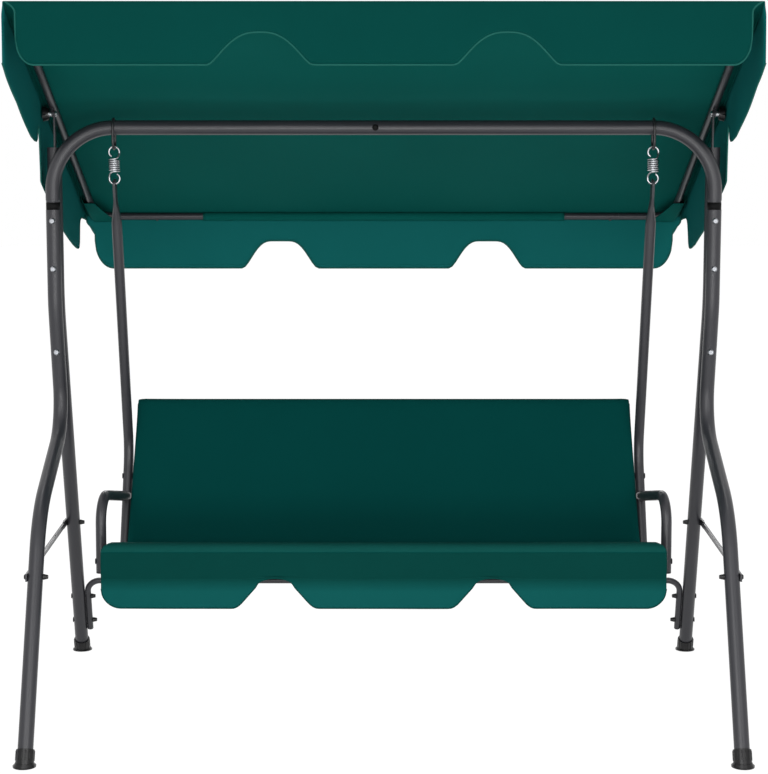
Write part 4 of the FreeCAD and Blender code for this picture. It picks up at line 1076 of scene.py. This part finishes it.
for name, side in SIDES:
    neck_shade_band(f"beam_neck_shade_{name}", side * NECK_X)

# %% [markdown]
# ## Low bolts
# The cross tube's and the seat's bolts have low round heads, which the plain solids make too high.
# A head and a shank could be two joined cylinders, but one flat disc whose face is inset and drawn
# out into the shank is a single closed mesh.

# %% Low bolt helper
HEAD_R = 0.0070
HEAD_HEIGHT = 0.0016
HEAD_RIM = 0.0031
HEAD_EDGE = 0.0006


def low_bolt(seat, way, length):
    """Bolt with a low round head that sits at seat, its shank along way."""
    clear_selection()
    bpy.ops.mesh.primitive_cylinder_add(vertices=32, radius=HEAD_R, depth=HEAD_HEIGHT)
    bolt = bpy.context.object
    bpy.ops.object.mode_set(mode="EDIT")
    bpy.ops.mesh.select_all(action="SELECT")
    bpy.ops.transform.translate(value=(0, 0, -HEAD_HEIGHT / 2))
    bpy.ops.mesh.select_all(action="DESELECT")
    bpy.ops.object.mode_set(mode="OBJECT")
    for face in bolt.data.polygons:
        face.select = face.normal.z > 0.9
    bpy.ops.object.mode_set(mode="EDIT")
    bpy.ops.mesh.inset(thickness=HEAD_RIM)
    bpy.ops.mesh.extrude_region_move(TRANSFORM_OT_translate={"value": (0, 0, length)})
    bpy.ops.object.mode_set(mode="OBJECT")
    applied(bolt, "soft_rims", "BEVEL", width=HEAD_EDGE, segments=2, limit_method="ANGLE")
    set_along(bolt, seat, way)
    return bolt


def bolt_set(name, places, finish, body, stands_for):
    """One piece of several low bolts, each given as seat, way and length."""
    bolts = [low_bolt(*place) for place in places]
    clear_selection()
    for bolt in bolts:
        bolt.select_set(True)
    bpy.context.view_layer.objects.active = bolts[0]
    bpy.ops.object.join()
    joined = newest(name)
    bpy.ops.object.shade_smooth()
    hand_over(joined, finish, body, stands_for)
    print(name, len(joined.data.polygons), "faces")


# %% Bolts of the cross tube and the seat
CROSS_HEIGHTS = (0.167, 0.094)
CROSS_OUT = Vector((0.0181, 0, 0))
CROSS_SHANK = 0.0580
SEAT_BOLTS = (
    (Vector((0.6628, 0.1545, 0.536)), 0.0730),
    (Vector((0.6628, 0.0643, 0.3464)), 0.0730),
    (Vector((0.6848, -0.185, 0.3890)), 0.0755),
)
ARM_START = Vector((0.650, 0.13165, 0.488))
ARM_RUN = Vector((0.022, -0.31065, 0.060))
ARM_HEAD = 0.0143
ARM_SHANK = 0.0590

cross_places = []
seat_places = []
rear_toe, rear_knee = LEG_LINES["rear"]
for name, side in SIDES:
    inward = Vector((-side, 0, 0))
    for height in CROSS_HEIGHTS:
        on_leg = rear_toe.lerp(rear_knee, height / rear_knee.z)
        cross_places.append((beside(side, on_leg + CROSS_OUT), inward, CROSS_SHANK))
    for point, shank in SEAT_BOLTS:
        seat_places.append((beside(side, point), inward, shank))
    arm_way = Vector((side * ARM_RUN.x, ARM_RUN.y, ARM_RUN.z)).normalized()
    seat_places.append((beside(side, ARM_START) - arm_way * ARM_HEAD, arm_way, ARM_SHANK))
bolt_set("cross_tube_low_bolts", cross_places, black_moulding, "stand", "cross_tube_bolts")
bolt_set("seat_low_bolts", seat_places, powder_coat, "seat", "seat_bolts")

# %% [markdown]
# ## Springs
# Two close-wound springs carry the bench. Their wire runs from a hook through the coil to a second
# hook. A screw modifier could wind the coil alone, but one curve with handles along the wire gives
# the whole path.

# %% Path of the wire
HOOK_X = 0.650
WIRE_R = 0.002
COIL_R = 0.012
LOOP_R = 0.0125
COILS = 6
PITCH = 0.005
NECK = 0.017
RING_DROP = 0.051
RING_WIRE_R = 0.003
RING_PLAY = 0.0004
UPPER_LOOP = BEAM.z - RING_DROP + RING_WIRE_R + WIRE_R + RING_PLAY - LOOP_R
COIL_TOP = UPPER_LOOP - NECK
COIL_LOW = COIL_TOP - COILS * PITCH
LOWER_LOOP = COIL_LOW - NECK


def hook_stations(x, height, angles, way):
    """Points and directions round a hook, turning one way or the other."""
    stations = []
    for angle in map(math.radians, angles):
        across, rise = math.cos(angle), math.sin(angle)
        stations.append((Vector((x + LOOP_R * across, BEAM.y, height + LOOP_R * rise)),
                         Vector((-way * rise, 0, way * across))))
    return stations


def coil_stations(x):
    """Points and directions at each quarter turn of the coil."""
    stations = []
    rise = PITCH / (2 * math.pi)
    for quarter in range(COILS * 4 + 1):
        turn = quarter * math.pi / 2
        across, along = COIL_R * math.sin(turn), COIL_R * math.cos(turn)
        stations.append((Vector((x + across, BEAM.y - along, COIL_LOW + rise * turn)),
                         Vector((along, across, rise)).normalized()))
    return stations


# %% Springs
HANDLE = 0.39


def wound_spring(name, x):
    stations = hook_stations(x, LOWER_LOOP, (60, 0, -90, -180), -1)
    stations += coil_stations(x)
    stations += hook_stations(x, UPPER_LOOP, (0, 90, 180, 240), 1)
    line = round_curve(name, WIRE_R, 4)
    line.resolution_u = 8
    spline = line.splines.new("BEZIER")
    spline.bezier_points.add(len(stations) - 1)
    for index, (point, way) in enumerate(stations):
        before = stations[max(0, index - 1)][0]
        after = stations[min(len(stations) - 1, index + 1)][0]
        knot = spline.bezier_points[index]
        knot.handle_left_type = "FREE"
        knot.handle_right_type = "FREE"
        knot.co = point
        knot.handle_left = point - way * ((point - before).length * HANDLE)
        knot.handle_right = point + way * ((after - point).length * HANDLE)
    spring = curve_mesh(name, line)
    bpy.ops.object.shade_smooth()
    give_finish(spring, bright_zinc)
    print("spring", name, len(spring.data.polygons), "faces")
    return spring


for name, side in SIDES:
    spring = wound_spring(f"spring_wire_{name}", side * HOOK_X)
    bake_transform(spring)
    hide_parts(f"spring_{name}")

# %% [markdown]
# ## Cloth finishes
# All the cloth is one dark green coated polyester. Some finishes are lighter copies of it with painted
# light: the loose valances get lighter, bluer tones than the lined parts for light that shines through
# them, the roof and the seat's roll lighter tones for light falling on them, and the piping lighter
# tones again as a painted highlight. The weave comes from the shared group. Sheets read their own map,
# because the threads follow the cut, and pads and cords, which have none, read their place. The seat's
# front could be two materials, but its skirt below the seam is lit through, so a second, lighter pair
# of tones is mixed in by height as painted light.

# %% Cloth finish helper
WEAVE_HEIGHT = 0.0006
SLUB_GLOSS = 0.12


def painted_light_below(tree, place, tone, colour, fade):
    """Colour that turns softly into a second, lighter pair of tones between two heights, as painted light."""
    high, low, dark, light = fade
    axes = tree.nodes.new("ShaderNodeSeparateXYZ")
    tree.links.new(place.outputs["Object"], axes.inputs["Vector"])
    share = tree.nodes.new("ShaderNodeMapRange")
    share.inputs["From Min"].default_value = high
    share.inputs["From Max"].default_value = low
    tree.links.new(axes.outputs["Z"], share.inputs["Value"])
    return mixed_colour(tree, share.outputs["Result"], colour, mixed_colour(tree, tone, dark, light))


def cloth_finish(name, dark, light, threads=260.0, bump=0.25, rough=0.80, follows="UV", fade=None):
    """Coated woven cloth in two tones, whose threads follow the UV map or the Object coordinates."""
    finish, tree, shader = new_finish(name, 0.03)
    place = tree.nodes.new("ShaderNodeTexCoord")
    group = placed_group(tree, weave, place.outputs[follows], Threads=threads)
    tone = group.outputs["Tone"]
    colour = mixed_colour(tree, tone, dark, light)
    # A fade mixes in a lighter pair of tones by height, as painted light.
    if fade:
        colour = painted_light_below(tree, place, tone, colour, fade)
    tree.links.new(colour, shader.inputs["Base Color"])
    gloss = math_node(tree, "MULTIPLY_ADD", group.outputs["Slub"], SLUB_GLOSS)
    gloss.node.inputs[2].default_value = rough
    tree.links.new(gloss, shader.inputs["Roughness"])
    add_relief(tree, shader, group.outputs["Height"], bump, WEAVE_HEIGHT)
    return finish


# %% Cloth finishes
# Painted light: below the seat's seam the skirt gets a lighter pair of tones, for light that shines through the
# loose cloth from behind.
SKIRT_PAINTED_LIGHT = (SEAT_SEAM - 0.002, SEAT_SEAM - 0.034, (0.0030, 0.067, 0.062, 1), (0.0042, 0.079, 0.073, 1))

# Painted light: the roof's tones are lighter than the cloth's own, standing in for light that comes through the
# roof onto its underside.
roof_cloth_painted_light = cloth_finish("roof_cloth_painted_light", (0.0012, 0.066, 0.055, 1), (0.0022, 0.078, 0.066, 1))
lined_cloth = cloth_finish("lined_cloth", (0.0006, 0.040, 0.034, 1), (0.0012, 0.048, 0.041, 1))
# Painted light: the loose valances get lighter, bluer tones than the cloth's own, for light that shines through
# them from behind.
valance_cloth_painted_light = cloth_finish("valance_cloth_painted_light", (0.0040, 0.098, 0.093, 1), (0.0064, 0.116, 0.110, 1))
# Painted light: the roll on top of the seat's front gets lighter tones than the band, for the light that falls on
# its top.
roll_cloth_painted_light = cloth_finish("roll_cloth_painted_light", (0.0030, 0.054, 0.046, 1), (0.0046, 0.064, 0.055, 1))
# The seat's front mixes in the skirt's painted light below its seam.
seat_front_cloth = cloth_finish(
    "seat_front_cloth", (0.0010, 0.036, 0.0305, 1), (0.0017, 0.043, 0.0365, 1), fade=SKIRT_PAINTED_LIGHT)
pad_cloth = cloth_finish(
    "pad_cloth", (0.0002, 0.041, 0.037, 1), (0.0005, 0.049, 0.044, 1), bump=0.15, follows="Object")
# Painted highlight: the valances' piping gets tones lighter than the cloth it is made of, for the light a round
# cord catches.
piping_cloth_painted_highlight = cloth_finish(
    "piping_cloth_painted_highlight", (0.010, 0.085, 0.070, 1), (0.015, 0.098, 0.081, 1), 300.0, 0.12, 0.75, "Object")
thread = cloth_finish(
    "thread", (0.004, 0.060, 0.050, 1), (0.006, 0.072, 0.060, 1), 900.0, 0.12, 0.60, "Object")
print("finishes", len(bpy.data.materials))

# %% [markdown]
# ## Handing over the cloth
# Every cloth piece gets its finish and the body it moves with, and the solid it stands for is hidden. The
# seat's front has a second finish on its roll. A table lists for the hung sheets how large each is lying
# flat, what it hangs from or is stretched over, and which cords and stitches belong to it, and each
# sheet's cloth area is printed beside its flat size.

# %% Bodies and slots
canopy_pieces = [
    # The roof, its sleeve, its pockets and its piping wear the roof's tones, lightened as painted light.
    (roof, roof_cloth_painted_light, "canopy_roof"),
    (front_valance, lined_cloth, "front_valance"),
    # The rear and side valances wear tones lightened as painted light.
    (rear_valance, valance_cloth_painted_light, "rear_valance"),
    *((sheet, valance_cloth_painted_light, f"side_valance_{name}") for name, sheet in side_valances.items()),
    # The valances' piping wears tones lightened as a painted highlight.
    *((cord, piping_cloth_painted_highlight, None) for cord in (front_piping, rear_piping, *side_piping.values())),
    *((piece, roof_cloth_painted_light, None) for piece in (rear_sleeve, *pockets.values(), roof_piping)),
    *((row, thread, None) for row in canopy_stitches.values()),
]
seat_pieces = [
    (seat_front, seat_front_cloth, "seat_valance"),
    (seat_pad, pad_cloth, "seat_pad"),
    (back_pad, pad_cloth, "back_pad"),
    (seat_stitches, thread, None),
    (seam_top, pad_cloth, None),
    # The low seam wears the roof's tones, lightened as painted light.
    (seam_low, roof_cloth_painted_light, None),
    (seat_piping, lined_cloth, None),
    (back_piping, pad_cloth, None),
]
for piece, finish, stands_for in canopy_pieces:
    hand_over(piece, finish, "canopy", stands_for)
for piece, finish, stands_for in seat_pieces:
    hand_over(piece, finish, "seat", stands_for)
# The roll above the band's foot gets the lighter finish, painted light for its lit top.
seat_front.data.materials.append(roll_cloth_painted_light)
for face in seat_front.data.polygons:
    face.material_index = int(face.center.z > ROLL_FOOT)
give_finish(nodes["seat_sling"], pad_cloth)
print("cloth pieces", len(canopy_pieces), "on the canopy,", len(seat_pieces), "on the seat")

# %% Flat sizes of the sheets
SIDE_FLAT = (1.25, 0.21)

hung = [
    (front_valance, front_point, (1.66, 0.135), "canopy_front_tube",
     [front_piping, canopy_stitches["front_valance"]]),
    (rear_valance, rear_point, (1.66, 0.152), "canopy_rear_tube",
     [rear_piping, canopy_stitches["rear_valance"]]),
    *((side_valances[name], partial(side_point, side), SIDE_FLAT, f"canopy_side_tube_{name}",
       [side_piping[name]]) for name, side in SIDES),
    (seat_front, seat_front_point, (1.32, 0.225), "seat_frame",
     [seat_piping, seat_stitches, seam_top, seam_low]),
]
for piece, place, flat, carried, cords in hung:
    area = sheet_area(170, 12, place)
    print(piece.name, "cloth area", round(area, 4), "of", round(flat[0] * flat[1], 4))
for name, side in SIDES:
    sheet_area(16, 24, partial(pocket_point, side))
